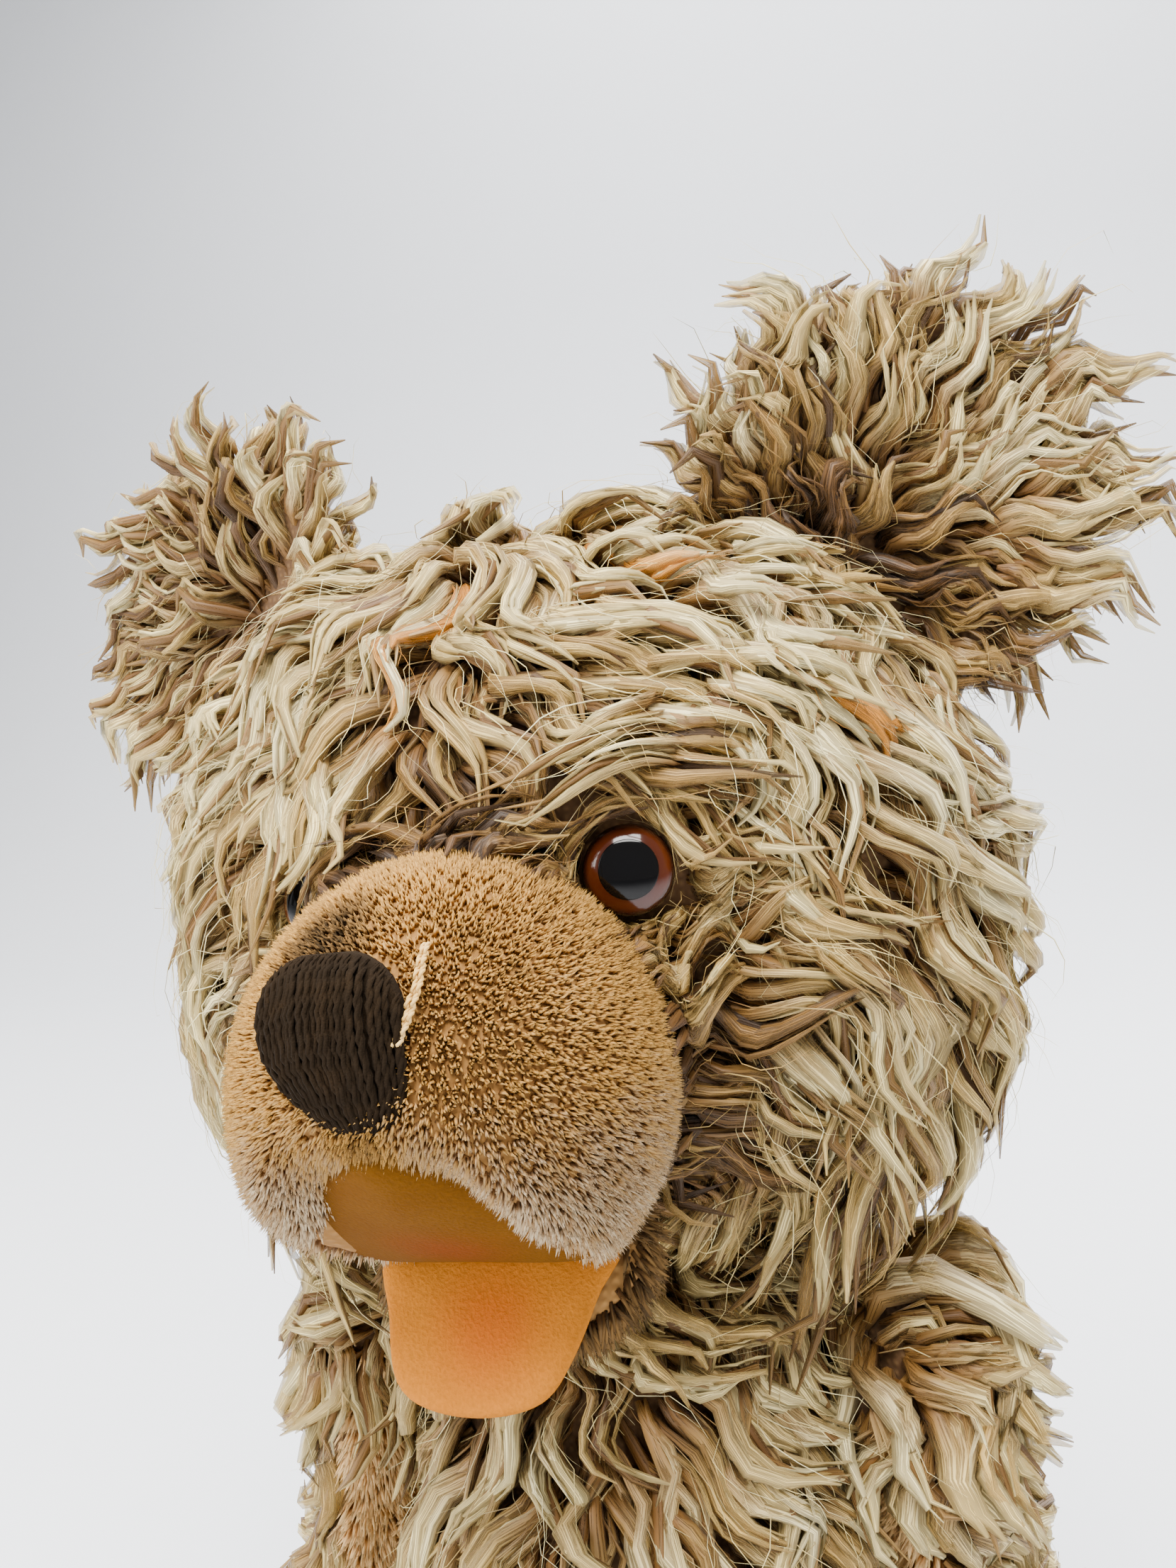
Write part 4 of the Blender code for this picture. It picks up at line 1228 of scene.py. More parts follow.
@dataclass
class Head:
    """The skull with its long coat, laid out from the skull's middle.

    The gaps between roots are those of the near front, the far front and the back, and they close up at the crown.
    No lock starts within an eye's rootless radius. A clearing tells how far locks are pushed off an eye's axis, and
    how near to it they would come to be left out.
    """

    place: Place
    skull: Egg = Egg((0, 1, -4), (64, 50, 54), 46)
    snout: Egg = Egg((0, -55, -21), (26.5, 28.5, 27.5), 28.5)
    gaps: Triple = (4.6, 5.0, 6.0)
    crown: Triple = (0, 24, 42)
    whorl: Triple = (0, 4, 48)
    whorl_reach: float = 16
    whorl_gap: float = 5.2
    rootless: tuple[tuple[Side, float], ...] = ((Side.LEFT, 7.6), (Side.RIGHT, 4.56))
    clearings: tuple[tuple[Side, float, float], ...] = ((Side.LEFT, 8.2, 2.6), (Side.RIGHT, 3.0, 0.0))
    stained: tuple[Triple, ...] = ((-3.7, -32.7, 41.1), (24.9, -27.2, 41.6), (50.2, -28.5, 19.9))
    lone: tuple[LoneLock, ...] = (
        LoneLock(((34, -40, 15), (28, -46, 17), (21, -50, 15.5), (15, -52, 12), (11, -53, 10), (9, -53, 12)),
                 0.74, 2.6),
        LoneLock(((31, -38, 22), (24, -45, 21), (17, -49, 18), (10, -51, 15), (5, -51.5, 14)), 0.66, 3.0),
        LoneLock(((-22, -38, 24), (-20, -46, 18), (-17, -51, 13), (-18, -55, 8), (-22, -57, 4)), 0.78, 2.8),
        LoneLock(((-28, -34, 22), (-27, -43, 15), (-25, -50, 8), (-26, -53, 1), (-30, -54, -5)), 0.74, 3.2),
        LoneLock(((-8, -42, 24), (-11, -49, 18), (-13, -54, 13), (-10, -58, 9.5), (-12, -61, 6)), 0.7, 2.6))

    @cached_property
    def form(self) -> Merged:
        """The surface that the coat lies on."""
        return Merged((self.skull, self.snout))

    def comb(self, points: Array) -> Array:
        """The way the coat is combed."""
        x, y, z = points.T
        zero = 0 * x
        flare = unit(np.stack([x, zero, z + 21], -1)) * 0.8 + (0, 0.9, 0)
        near = (ease(30, 6, self.snout.away(points)) * ease(8, -6, z))[:, None]
        part = np.tanh((x + 4) / 14)
        down = np.stack([0.2 * np.sign(x), 0.5 + zero, -1 + zero], -1)
        crown = np.stack([0.95 * part, -0.5 - 0.1 * part ** 2, -0.3 + zero], -1)
        low = np.stack([-0.35 * np.sign(x), -0.6 + zero, -0.6 + zero], -1)
        high = (ease(4, 30, z) * ease(25, 0, y))[:, None]
        under = (ease(-26, -46, z) * ease(24, -6, y) * ease(-52, -40, y))[:, None]
        base = down * (1 - high) * (1 - under) + crown * high + low * under
        return base * (1 - near) + flare * near

    def edge(self, points: Array) -> Array:
        """How far forward the long coat starts at points: the sewn edge of the snout."""
        x, _, z = points.T
        return -50 - 6 * ease(20, 8, np.abs(x)) * ease(-6, 4, z)

    def spacing(self, points: Array) -> Array:
        """The distance wanted between roots; none on the short pile, the eyes, the neck and the mouth."""
        x, y, z = points.T
        near, far, back = self.gaps
        gap = np.where(y < 12, np.where(x > -8, near, far), back)
        gap = gap * np.where((y < 12) & (z < -30), 1.1, 1.0)
        gap = gap * (1 - 0.35 * ease(34, 18, gap_to(points, self.crown)))
        gap = gap * (1 - 0.08 * ease(32, 22, np.abs(x)) * ease(-10, -25, y))
        gap[y < self.edge(points)] = 0
        for side, clear in self.rootless:
            _, flat = off_axis(points, side.of(EYE_AT), side.of(EYE_WAY))
            reach = np.linalg.norm(flat, axis=1)
            gap[(reach < clear) & (y < -20)] = 0
            gap = np.where((reach < 14) & (y < -20), gap * 0.66, gap)
        gap[(np.hypot(x, y) < 22) & (z < -40)] = 0
        gap[(np.abs(x) < 16) & (y < -28) & (z < -36)] = 0
        gap[(np.abs(x) < 20) & (y < -44) & (z < -30)] = 0
        return gap

    def locks(self, rng: Random) -> LockSet:
        """All locks of the skull."""
        roots = self.form.roots(rng, self.spacing, 9000)
        x, y, z = roots.T
        off = self.snout.away(roots)
        eye_gap = np.minimum(*[gap_to(roots, side.of(EYE_AT)) for side in Side])
        brow = ease(16, 3, off) * ease(-8, 4, z)
        rim = ease(9, 1, off) * ease(0, -8, z)
        crown = ease(25, 45, z) * ease(-30, -8, y)
        round_eye = ease(18, 8, eye_gap)
        cheek = ease(18, 45, np.abs(x)) * ease(20, -5, z)
        length = (1 - 0.3 * brow - 0.25 * rim) * (1 - 0.55 * round_eye) * (1 + 0.12 * ease(-5, -35, z))
        far = ease(-26, -44, x) * ease(0, -20, z)
        height = (1 - 0.2 * brow - 0.1 * rim) * (1 - 0.6 * round_eye) * (1 + 0.35 * cheek + 0.5 * crown + 0.5 * far)
        middle = ease(28, 10, np.abs(x)) * ease(-22, -38, y)
        # Tone: random patches, painted light on the forehead and painted shade on the lower left cheek; also darker
        # in the middle above the snout, toward the back, round the eyes and along the snout's edge, and lighter
        # toward each side.
        tone = (0.03 + 0.2 * soft_noise(roots, 17, 8.5) + 0.16 * ease(8, 30, z) * ease(10, -20, y) - 0.34 * middle
                + 0.06 * ease(30, 55, x) + 0.1 * ease(-20, -40, x) - 0.14 * ease(-8, -32, z) * ease(10, 30, x)
                - 0.05 * ease(10, 40, y) - 0.16 * round_eye - 0.12 * ease(9, 1, off) * ease(10, -8, z))
        hang = ease(22, 44, np.abs(x)) * ease(8, -8, z)
        made = lay_locks(self.form, roots, self.comb, Habit(), rng, length * (1 + 0.1 * hang), height, tone, hang)
        made.traits[:, 1] *= 1 - 0.65 * round_eye
        for spot in self.stained:
            nearest = np.argsort(gap_to(made.spine[:, 3:9], spot).min(axis=1))[:2]
            made.traits[nearest, 0] = STAINED_TONE
            made.traits[nearest, 1] *= 0.5
        for side, clear, cover in self.clearings:
            centre, axis = side.of(EYE_AT), side.of(EYE_WAY)
            made = made.part(beside(made.spine, centre, axis).min(axis=1) > cover)
            made.spine = push_out(made.spine, centre, axis, clear)
        whorl = self.form.roots(
            rng, lambda p: np.where(gap_to(p, self.whorl) < self.whorl_reach, self.whorl_gap, 0), 900)
        made = made.plus(lay_locks(self.form, whorl, lambda p: np.tile((0.0, 1.0, -0.3), (len(p), 1)),
                                   Habit(length=24, height=9), rng))
        for lock in self.lone:
            made = made.plus(lock.guide(made.spine.shape[1]))
        return made

    def bare_eye(self, coat: Piece, radius: float = 6.5) -> None:
        """Part the strands of a coat about the open eye."""
        points = np.empty(len(coat.data.vertices) * 3)
        coat.data.vertices.foreach_get("co", points)
        moved = push_out(points.reshape(-1, 3) / MM, self.place.out(EYE_AT), self.place.aim(EYE_WAY), radius)
        coat.data.vertices.foreach_set("co", (moved * MM).reshape(-1))

    def build(self) -> list[Piece]:
        """The skull's cloth and its coat."""
        rng = np.random.default_rng(11)
        points, faces = ball(48, 30, self.skull.at)
        skin = solid("head_cloth", self.place.out(points), faces, BACKING)
        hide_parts("head")
        locks = self.locks(rng)
        start = locks.spine[:, 0]
        front = start[:, 1] < 6
        groups = (("head_coat_left", front & (start[:, 0] >= 24), 6, 10),
                  ("head_coat_middle", front & (np.abs(start[:, 0]) < 24), 6, 10),
                  ("head_coat_right", front & (start[:, 0] <= -24), 6, 9), ("head_coat_back", ~front, 4, 7))
        pieces = [skin]
        for name, keep, strips, points in groups:
            some = locks.part(keep).moved(self.place)
            hairs, width = (4, 2.0) if points > 7 else (1, 3.2)
            coat = some.grow(name, LONG_COAT, 20, strips, hairs, points, width)
            if name in ("head_coat_left", "head_coat_middle"):
                self.bare_eye(coat)
            pieces.append(coat)
            LOG.info("%s: %d locks", name, len(some))
        return pieces


@dataclass
class Ear(Sided):
    """One cupped ear, laid out from its middle.

    The coat of each face sweeps away from its hub near the root; painted shade darkens it there and low on the
    front, where the ear's cup and its join with the head lie in shade.
    """

    place: Place
    seed: int
    hub: tuple[float, float]
    hub_shade: float
    low_shade: float
    hub_behind: tuple[float, float] = (-17, -22)
    half: Triple = (28, 3.0, 27)
    cup: float = 6
    gap: float = 4.2
    knots: int = 14
    turns: float = 1.4

    def shape(self, directions: Array) -> Array:
        """The ear's cloth."""
        rim = directions[:, 0] ** 2 + directions[:, 2] ** 2
        deep = np.sign(directions[:, 1]) * np.abs(directions[:, 1]) ** 0.7 * self.half[1]
        return np.stack([directions[:, 0] * self.half[0], deep - self.cup * (rim - 0.5),
                         directions[:, 2] * self.half[2]], -1)

    def locks(self, rng: Random) -> LockSet:
        """Locks on both faces and round the rim."""
        directions = unit(rng.normal(size=(6000, 3)) * (1, 2.0, 1))
        points = self.shape(directions)
        chosen = apart(points, np.full(len(points), self.gap))
        root, direction = points[chosen], directions[chosen]
        face = np.where(direction[:, 1] < 0, -1.0, 1.0)
        normal = unit(np.stack([direction[:, 0] * 0.5, face * 1.0, direction[:, 2] * 0.5], -1))
        hub = np.where(face[:, None] < 0, self.hub, self.hub_behind)
        sweep = root - np.stack([hub[:, 0], root[:, 1], hub[:, 1]], -1)
        reach = np.linalg.norm(sweep, axis=1)
        sweep = unit(sweep + (0, 0, 1e-3) + ease(11, 6, reach)[:, None] * (0, 0, 16.0))
        edge = np.hypot(root[:, 0] / self.half[0], root[:, 2] / self.half[2])
        count = len(root)
        twist = np.radians(8) * rng.normal(size=count) + np.radians(36) * soft_noise(root, 16, 9.0)
        across = np.cross(normal, sweep)
        sweep = sweep * np.cos(twist)[:, None] + across * np.sin(twist)[:, None]
        length = 24 * (1.1 - 0.4 * edge ** 2) * rng.uniform(0.75, 1.15, count)
        height = 8.5 * (1.0 - 0.35 * edge) * rng.uniform(0.5, 1.25, count)
        phase = math.tau * (soft_noise(root, 20, 2.0) + rng.uniform(-0.07, 0.07, count))
        curl = np.radians(70) * soft_noise(root, 20, 6.0) + np.radians(18) * rng.normal(size=count)
        curl += np.radians(35) * ease(0.5, 1.0, edge) * np.sign(sweep[:, 0]) * face
        spot, spine, sides = root.copy(), [], []
        for knot in range(self.knots):
            part = knot / (self.knots - 1)
            turn = (curl * part ** 1.5)[:, None]
            way = sweep * np.cos(turn) + across * np.sin(turn)
            side = across * np.cos(turn) - sweep * np.sin(turn)
            swing = 2.3 * min(1, part * 2) * np.sin(math.tau * self.turns * part + phase)
            lift = 1.2 * min(1, part * 2) * np.cos(math.tau * self.turns * part + phase)
            point = spot + normal * (height * math.sin(1.9 * part) - 0.5 + lift)[:, None] + side * swing[:, None]
            point[:, 2] -= 3.5 * part ** 2.4
            spine.append(point)
            sides.append(side)
            spot = spot + way * (length / (self.knots - 1) * (0.7 + 0.4 * part))[:, None]
        # Painted shade darkens the hub and the low front; the rim is lighter.
        tone = (0.62 + 0.22 * (rng.random(count) - 0.5) * 2 + 0.1 * ease(0.5, 1.0, edge)
                - self.hub_shade * ease(24, 6, reach) - self.low_shade * ease(-4, -14, root[:, 2]) * (face < 0))
        traits = np.stack([np.clip(tone, *TONES), 4.8 * rng.uniform(0.75, 1.25, count),
                           rng.uniform(0.85, 1.15, count)], -1)
        return LockSet(np.stack(spine, 1), np.stack(sides, 1), traits)

    def build(self) -> list[Piece]:
        """The ear's cloth and coat."""
        rng = np.random.default_rng(self.seed)
        points, faces = ball(32, 14, self.shape)
        skin = solid(f"ear_cloth_{self.side_name}", self.place.out(points), faces, BACKING)
        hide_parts(f"ear_{self.side_name}")
        locks = self.locks(rng).moved(self.place)
        coat = locks.grow(f"ear_coat_{self.side_name}", LONG_COAT, 40, 6, 3, points=8, width=2.0, tip=0.5)
        LOG.info("ear_coat_%s: %d locks", self.side_name, len(locks))
        return [skin, coat]


@dataclass(frozen=True)
class MouthFace:
    """One face of the open mouth: a plane from the crease, by its way and the side that it looks to."""

    way: Triple
    sign: int

    @cached_property
    def line(self) -> Array:
        """The direction along the face from the crease."""
        return unit(np.array(self.way))

    @cached_property
    def out(self) -> Array:
        """The direction out of the face."""
        return np.cross((1, 0, 0), self.line) * self.sign


ROOF = MouthFace((0, -0.8, 0.6), 1)
TONGUE = MouthFace((0, -0.555, -0.832), -1)


@dataclass
class Muzzle:
    """The short-pile snout, cut away below for the open mouth, and the chin under it."""

    place: Place
    cloth: Egg = Egg((0, -55, -21), (26.6, 28.6, 27.6), 28.6)
    chin: Egg = Egg((0, -45, -48), (18.5, 14.5, 11), 14.5)
    crease: Triple = (0, -49, -45)
    lip_round: float = 2.0
    jowl: float = 5.0
    pile: float = 1.9
    # Spots round the nose where the pile is darker, by centre, reach and share; the one under the nose is painted
    # shade.
    dirt: tuple[tuple[Triple, float, float], ...] = (
        ((-6.0, -74.0, 2.0), 10.0, 0.85), ((-16.7, -69.3, 0.3), 3.0, 0.5), ((0, -83, -21), 6.0, 0.5))

    def past(self, points: Array, face: MouthFace) -> Array:
        """How far points stand past a mouth face; the palate's gives way at the jowls."""
        jowls = self.jowl * max(face.sign, 0) * ease(8, 17, np.abs(points[:, 0]))
        return (points - np.array(self.crease)) @ face.out - jowls

    def cut(self, points: Array, face: MouthFace) -> Array:
        """Points held back behind a mouth face, with a rounded edge."""
        over = self.past(points, face)
        held = -np.logaddexp(0, -(over + 0.5) / self.lip_round) * self.lip_round
        return points + np.outer(np.where(over > held, held - over, 0), face.out)

    def skin(self, name: str, egg: Egg, face: MouthFace, rings: int) -> tuple[Piece, Array]:
        """A cloth form cut by a mouth face, with its poles in front and behind, and its points."""
        turn = turn_matrix("X", 90)
        points, faces = ball(rings * 2, rings, lambda d: self.cut(egg.at(d @ turn.T), face))
        return solid(name, self.place.out(points), faces, MUZZLE_BACKING), points

    def build(self) -> list[Piece]:
        """Snout, chin and their pile."""
        snout, p = self.skin("muzzle_cloth", self.cloth, ROOF, 34)
        x, y, z = p.T
        # Painted shade darkens the top of the snout; the pile is also lighter low down and darker on the right side.
        tone = 0.5 + 0.1 * soft_noise(p, 9, 4.0) + 0.34 * ease(-18, -38, z + 0.25 * y + 12)
        tone = tone - 0.12 * ease(-14, -24, x) - 0.05 * ease(-12, 6, z)
        tone = tone + 0.1 * soft_noise(p, 3.0, 2.0)
        for spot, reach, share in self.dirt:
            gap = gap_to(p, spot) + 2.0 * soft_noise(p, 4, 1.0)
            tone = tone - tone * share * ease(reach, reach * 0.3, gap)
        along = (p - np.array(self.crease)) @ ROOF.line
        lip = (np.abs(x) / 20.5) ** 1.6 + (np.abs(along - 6) / 30.5) ** 1.6
        amount = np.where((self.past(p, ROOF) > -1.6) & (lip < 0.97), 0.0, 1.0) * ease(-38, -44, y)
        nose = np.hypot((x + 0.8) / 8.0, (z + 9.2) / 8.4)
        amount = amount * np.where((y < -60) & (nose < 0.9), 0, 1)
        length = self.pile * (0.9 + 0.35 * ease(-18, -38, z))
        lean = np.stack([0.1 * x / 30, 0 * x, -0.2 + 0 * x], -1)
        pile_values(snout, self.place, amount, tone, length, lean)
        coat = PILE.grow("muzzle_coat", snout.data.copy(), SHORT_COAT, Density=4.8e6, Width=0.0003,
                         Clump_Size=0.0014, Clump=50.0, Jitter=0.28, Seed=5)
        jaw, q = self.skin("chin_cloth", self.chin, TONGUE, 18)
        pile_values(jaw, self.place, ease(-1.0, -2.2, self.past(q, TONGUE)), 0.16 + 0.1 * soft_noise(q, 5, 2.0),
                    4.4, (0.0, 0.1, -1.3))
        beard = PILE.grow("chin_coat", jaw.data.copy(), SHORT_COAT, Density=2.0e6, Width=0.0005,
                          Clump_Size=0.0024, Clump=420.0, Jitter=0.35, Seed=6)
        for piece, node in ((snout, "muzzle"), (jaw, "chin")):
            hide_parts(node)
        LOG.info("muzzle and chin")
        return [snout, coat, jaw, beard]


@dataclass
class Mouth:
    """Two felt faces that meet at the crease."""

    muzzle: Muzzle
    roof: tuple[tuple[float, float], ...] = (
        (0, 0.3), (16, 0.5), (17.5, 9), (15.5, 21.6), (9.5, 31.3), (5, 35.6), (0, 38.5), (-5, 35.6), (-9.5, 31.3),
        (-17.3, 21.6), (-22, 9), (-20, 0.5))
    floor: tuple[tuple[float, float], ...] = (
        (0, 0.3), (16, 0.3), (14, 6.5), (11.2, 13.6), (7.6, 18.6), (0.5, 20.6), (-7.6, 20), (-12.6, 17),
        (-14.8, 9.5), (-16, 0.5))
    thick: float = 3.4

    def felt(self, name: str, face: MouthFace, outline: tuple[tuple[float, float], ...], finish: FeltFinish,
             swell: float) -> Piece:
        """One felt face: a shallow cushion on its plane.

        Args:
            name: the piece's name.
            face: the mouth face that it lies on.
            outline: places across and along the face, round its edge.
            finish: its felt.
            swell: how far its middle stands out, or sinks in.

        Returns:
            The piece.
        """
        edge = through(np.array(outline + outline[:1], float), 90)
        middle = np.array([0, edge[:, 1].max() * 0.4])
        angle = np.arctan2(*(edge - middle).T[::-1])
        reach = np.linalg.norm(edge - middle, axis=1)
        order = np.argsort(angle)

        def shape(d: Array) -> Array:
            """The outline filled, pillowed on its free side."""
            flat = np.hypot(d[:, 0], d[:, 1])
            turn = np.arctan2(d[:, 1], d[:, 0])
            far = np.interp(turn, angle[order], reach[order], period=math.tau)
            share = flat ** 0.8 * far / np.maximum(flat, 1e-6)
            across, along = d[:, 0] * share + middle[0], d[:, 1] * share + middle[1]
            height = np.where(d[:, 2] > 0, np.abs(d[:, 2]) ** 0.7 * self.thick + swell * d[:, 2] ** 2, 0.2)
            return (np.array(self.muzzle.crease) + across[:, None] * np.array((1, 0, 0))
                    + along[:, None] * face.line + height[:, None] * face.out)
        points, faces = ball(72, 30, shape)
        return solid(name, self.muzzle.place.out(points), faces, finish)

    def build(self) -> list[Piece]:
        """The palate and the tongue side."""
        centre = self.muzzle.place.out(np.array([(0.0, -62.0, -37.0), (0.0, -57.0, -52.0)]))
        # The palate is the tongue's felt painted darker, as painted shade under the snout.
        roof = self.felt("mouth_roof", ROOF, self.roof, FeltFinish(
            "palate_felt", roughness=0.95, specular=0.05, ground=(0.42, 0.27, 0.07), worn=(0.37, 0.22, 0.05),
            stain=(0.45, 0.17, 0.04), stain_at=tuple(centre[0]), stain_mm=12, stain_share=0.6), 1.2)
        floor = self.felt("mouth_floor", TONGUE, self.floor, FeltFinish(
            "tongue_felt", roughness=0.95, specular=0.05, ground=(0.77, 0.48, 0.13), worn=(0.70, 0.41, 0.10),
            stain=(0.71, 0.30, 0.08), stain_at=tuple(centre[1]), stain_mm=11, stain_share=0.6), -1.8)
        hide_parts("mouth_roof_felt")
        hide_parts("mouth_floor_felt")
        LOG.info("mouth felts")
        return [roof, floor]


@dataclass
class Nose:
    """The satin-stitched nose and the mended seam beside it."""

    place: Place
    centre: Triple = (-1.2, -82.6, -10.0)
    half: Triple = (8.7, 2.4, 10.2)
    widest: float = 0.12
    skew: float = 2.6
    bend: tuple[float, float] = (44, 62)
    threads: int = 24
    seam: tuple[Triple, ...] = ((8.3, -75.6, -0.6), (8.6, -77.6, -2.6), (8.5, -79.6, -5.0), (7.8, -81.2, -7.6),
                                (6.9, -82.6, -9.9))

    def width(self, height: Array) -> Array:
        """The nose's width as a share of its widest, at heights from -1 to 1."""
        above = height > self.widest
        power = np.where(above, 2.6, 1.7)
        reach = np.abs(height - self.widest) / np.where(above, 1 - self.widest, 1 + self.widest)
        return np.maximum(0, 1 - reach ** power) ** (1 / power)

    def top(self, across: Array) -> Array:
        """The height of the top edge at places across from -1 to 1."""
        return self.widest + (1 - self.widest) * np.maximum(0, 1 - np.abs(across) ** 2.6) ** (1 / 2.6)

    def front(self, across: Array, height: Array) -> Array:
        """Points on the face of the nose, at shares of its widest and heights from -1 to 1."""
        width = across * self.half[0]
        rise = height * self.half[2]
        edge = np.clip(np.abs(across) / np.maximum(self.width(height), 1e-3), 0, 1)
        dome = self.half[1] * np.sqrt(np.maximum(0, 1 - edge ** 2 * 0.9)) * (1 - np.abs(height) ** 4 * 0.8)
        bent = width ** 2 / self.bend[0] + rise ** 2 / self.bend[1]
        shift = self.skew * ease(0.2, -1.0, height)
        return np.array(self.centre) + np.stack([width + shift, bent - dome, rise], -1)

    def build(self) -> list[Piece]:
        """The padded ground, its threads, and the seam's stitches."""
        rng = np.random.default_rng(3)

        def shape(d: Array) -> Array:
            """The padded ground under the threads."""
            height = np.clip(d[:, 2], -0.97, 0.97)
            across = np.clip(d[:, 0] / np.maximum(np.sqrt(1 - d[:, 2] ** 2), 0.05), -1, 1)
            face = self.front(across * self.width(height) * 0.97, height)
            face[:, 1] = np.where(d[:, 1] < 0, face[:, 1] + 0.5, self.centre[1] + 3.0)
            return face
        points, faces = ball(28, 14, shape)
        ground = solid("nose_ground", self.place.out(points), faces, NOSE_THREAD)
        lines = []
        for layer, count in ((0.0, self.threads), (0.3, self.threads - 7)):
            for step in range(count):
                across = -0.97 + 1.94 * (step + 0.5) / count + rng.normal() * 0.02
                height = np.linspace(self.top(across) * 0.98, -0.96, 13)
                share = np.where(height > self.widest, across, across * self.width(height))
                line = self.front(share, height)
                line[:, 1] -= layer + 0.15 * rng.random()
                line[[0, -1], 1] += 0.9
                lines.append(line)
        stitches = THREAD.grow("nose_threads", guide_mesh("nose_threads", self.place.out(np.array(lines))),
                               NOSE_THREAD, Points=18, Ply_Radius=0.0003, Twist=1700.0, Sides=5)
        track = np.array(self.seam)
        marks = []
        for part in np.linspace(0, 0.9, 8):
            shares = part + np.array((0, 0.075, 0.15))
            spot = np.stack([np.interp(shares, np.linspace(0, 1, len(track)), values) for values in track.T], -1)
            spot[:, 1] += np.array((0.3, -0.4, 0.3)) + rng.normal() * 0.05
            for lean in (-0.28, 0.28):
                loop = spot.copy()
                loop[:, 0] += lean + rng.normal() * 0.1
                marks.append(loop)
        seam = THREAD.grow("muzzle_seam_stitches", guide_mesh("seam", self.place.out(np.array(marks))),
                           SEAM_THREAD, Points=7, Ply_Radius=0.0002, Twist=3200.0, Sides=5)
        for piece in (ground, stitches):
            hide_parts("nose_stitching")
        LOG.info("nose and seam")
        return [ground, stitches, seam]


@dataclass
class Eye(Sided):
    """A glass eye: an amber dome with a black pupil set flush in it."""

    place: Place
    centre: Triple = EYE_AT
    normal: Triple = EYE_WAY
    radius: float = 6.0
    pupil: float = 3.9
    rise: float = 2.6
    back: float = 3.0
    amber: tuple[tuple[float, Colour], ...] = (
        (0.0, (0.16, 0.05, 0.02)), (0.60, (0.20, 0.07, 0.02)), (0.72, (0.24, 0.09, 0.03)),
        (0.86, (0.27, 0.11, 0.035)), (0.95, (0.17, 0.07, 0.03)), (1.0, (0.10, 0.04, 0.02)))
    black: tuple[tuple[float, Colour], ...] = ((0.0, (0.015, 0.015, 0.02)), (1.0, (0.02, 0.015, 0.015)))

    def build(self) -> list[Piece]:
        """The amber glass and the pupil."""
        line = unit(np.array(self.normal))
        across = unit(np.cross(line, (0, 0, 1)))
        up = np.cross(across, line)

        def dome(radius: float, base: float, lift: float) -> Callable[[Array], Array]:
            """A cap of the eye's dome out to a radius."""
            def shape(d: Array) -> Array:
                """Front on the dome, back on a shallow bowl."""
                ring = np.hypot(d[:, 0], d[:, 1]) * radius
                front = self.rise * np.sqrt(np.maximum(0.0, 1 - (ring / self.radius) ** 2 * 0.985)) + lift
                deep = np.where(d[:, 2] > 0, front, base * np.abs(d[:, 2]) ** 0.7 * -1)
                return (np.array(self.centre) + (d[:, :1] * radius) * across + (d[:, 1:2] * radius) * up
                        + deep[:, None] * line)
            return shape
        middle = tuple(self.place.out(np.array(self.centre) + line * self.rise * 0.7))
        glass = EyeFinish(f"amber_glass_{self.side_name}", roughness=0.12, coat=0.25, specular=0.3,
                          centre=middle, radius=self.radius, rings=self.amber)
        black = EyeFinish(f"black_glass_{self.side_name}", roughness=0.05, coat=0.1, specular=0.2,
                          centre=middle, radius=self.radius, rings=self.black)
        points, faces = ball(48, 22, dome(self.radius, self.back, 0.0))
        iris = solid(f"eye_glass_{self.side_name}", self.place.out(points), faces, glass)
        points, faces = ball(40, 18, dome(self.pupil, 0.2, 0.06))
        pupil = solid(f"eye_pupil_{self.side_name}", self.place.out(points), faces, black)
        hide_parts(f"eye_{self.side_name}")
        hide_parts(f"pupil_{self.side_name}")
        return [iris, pupil]


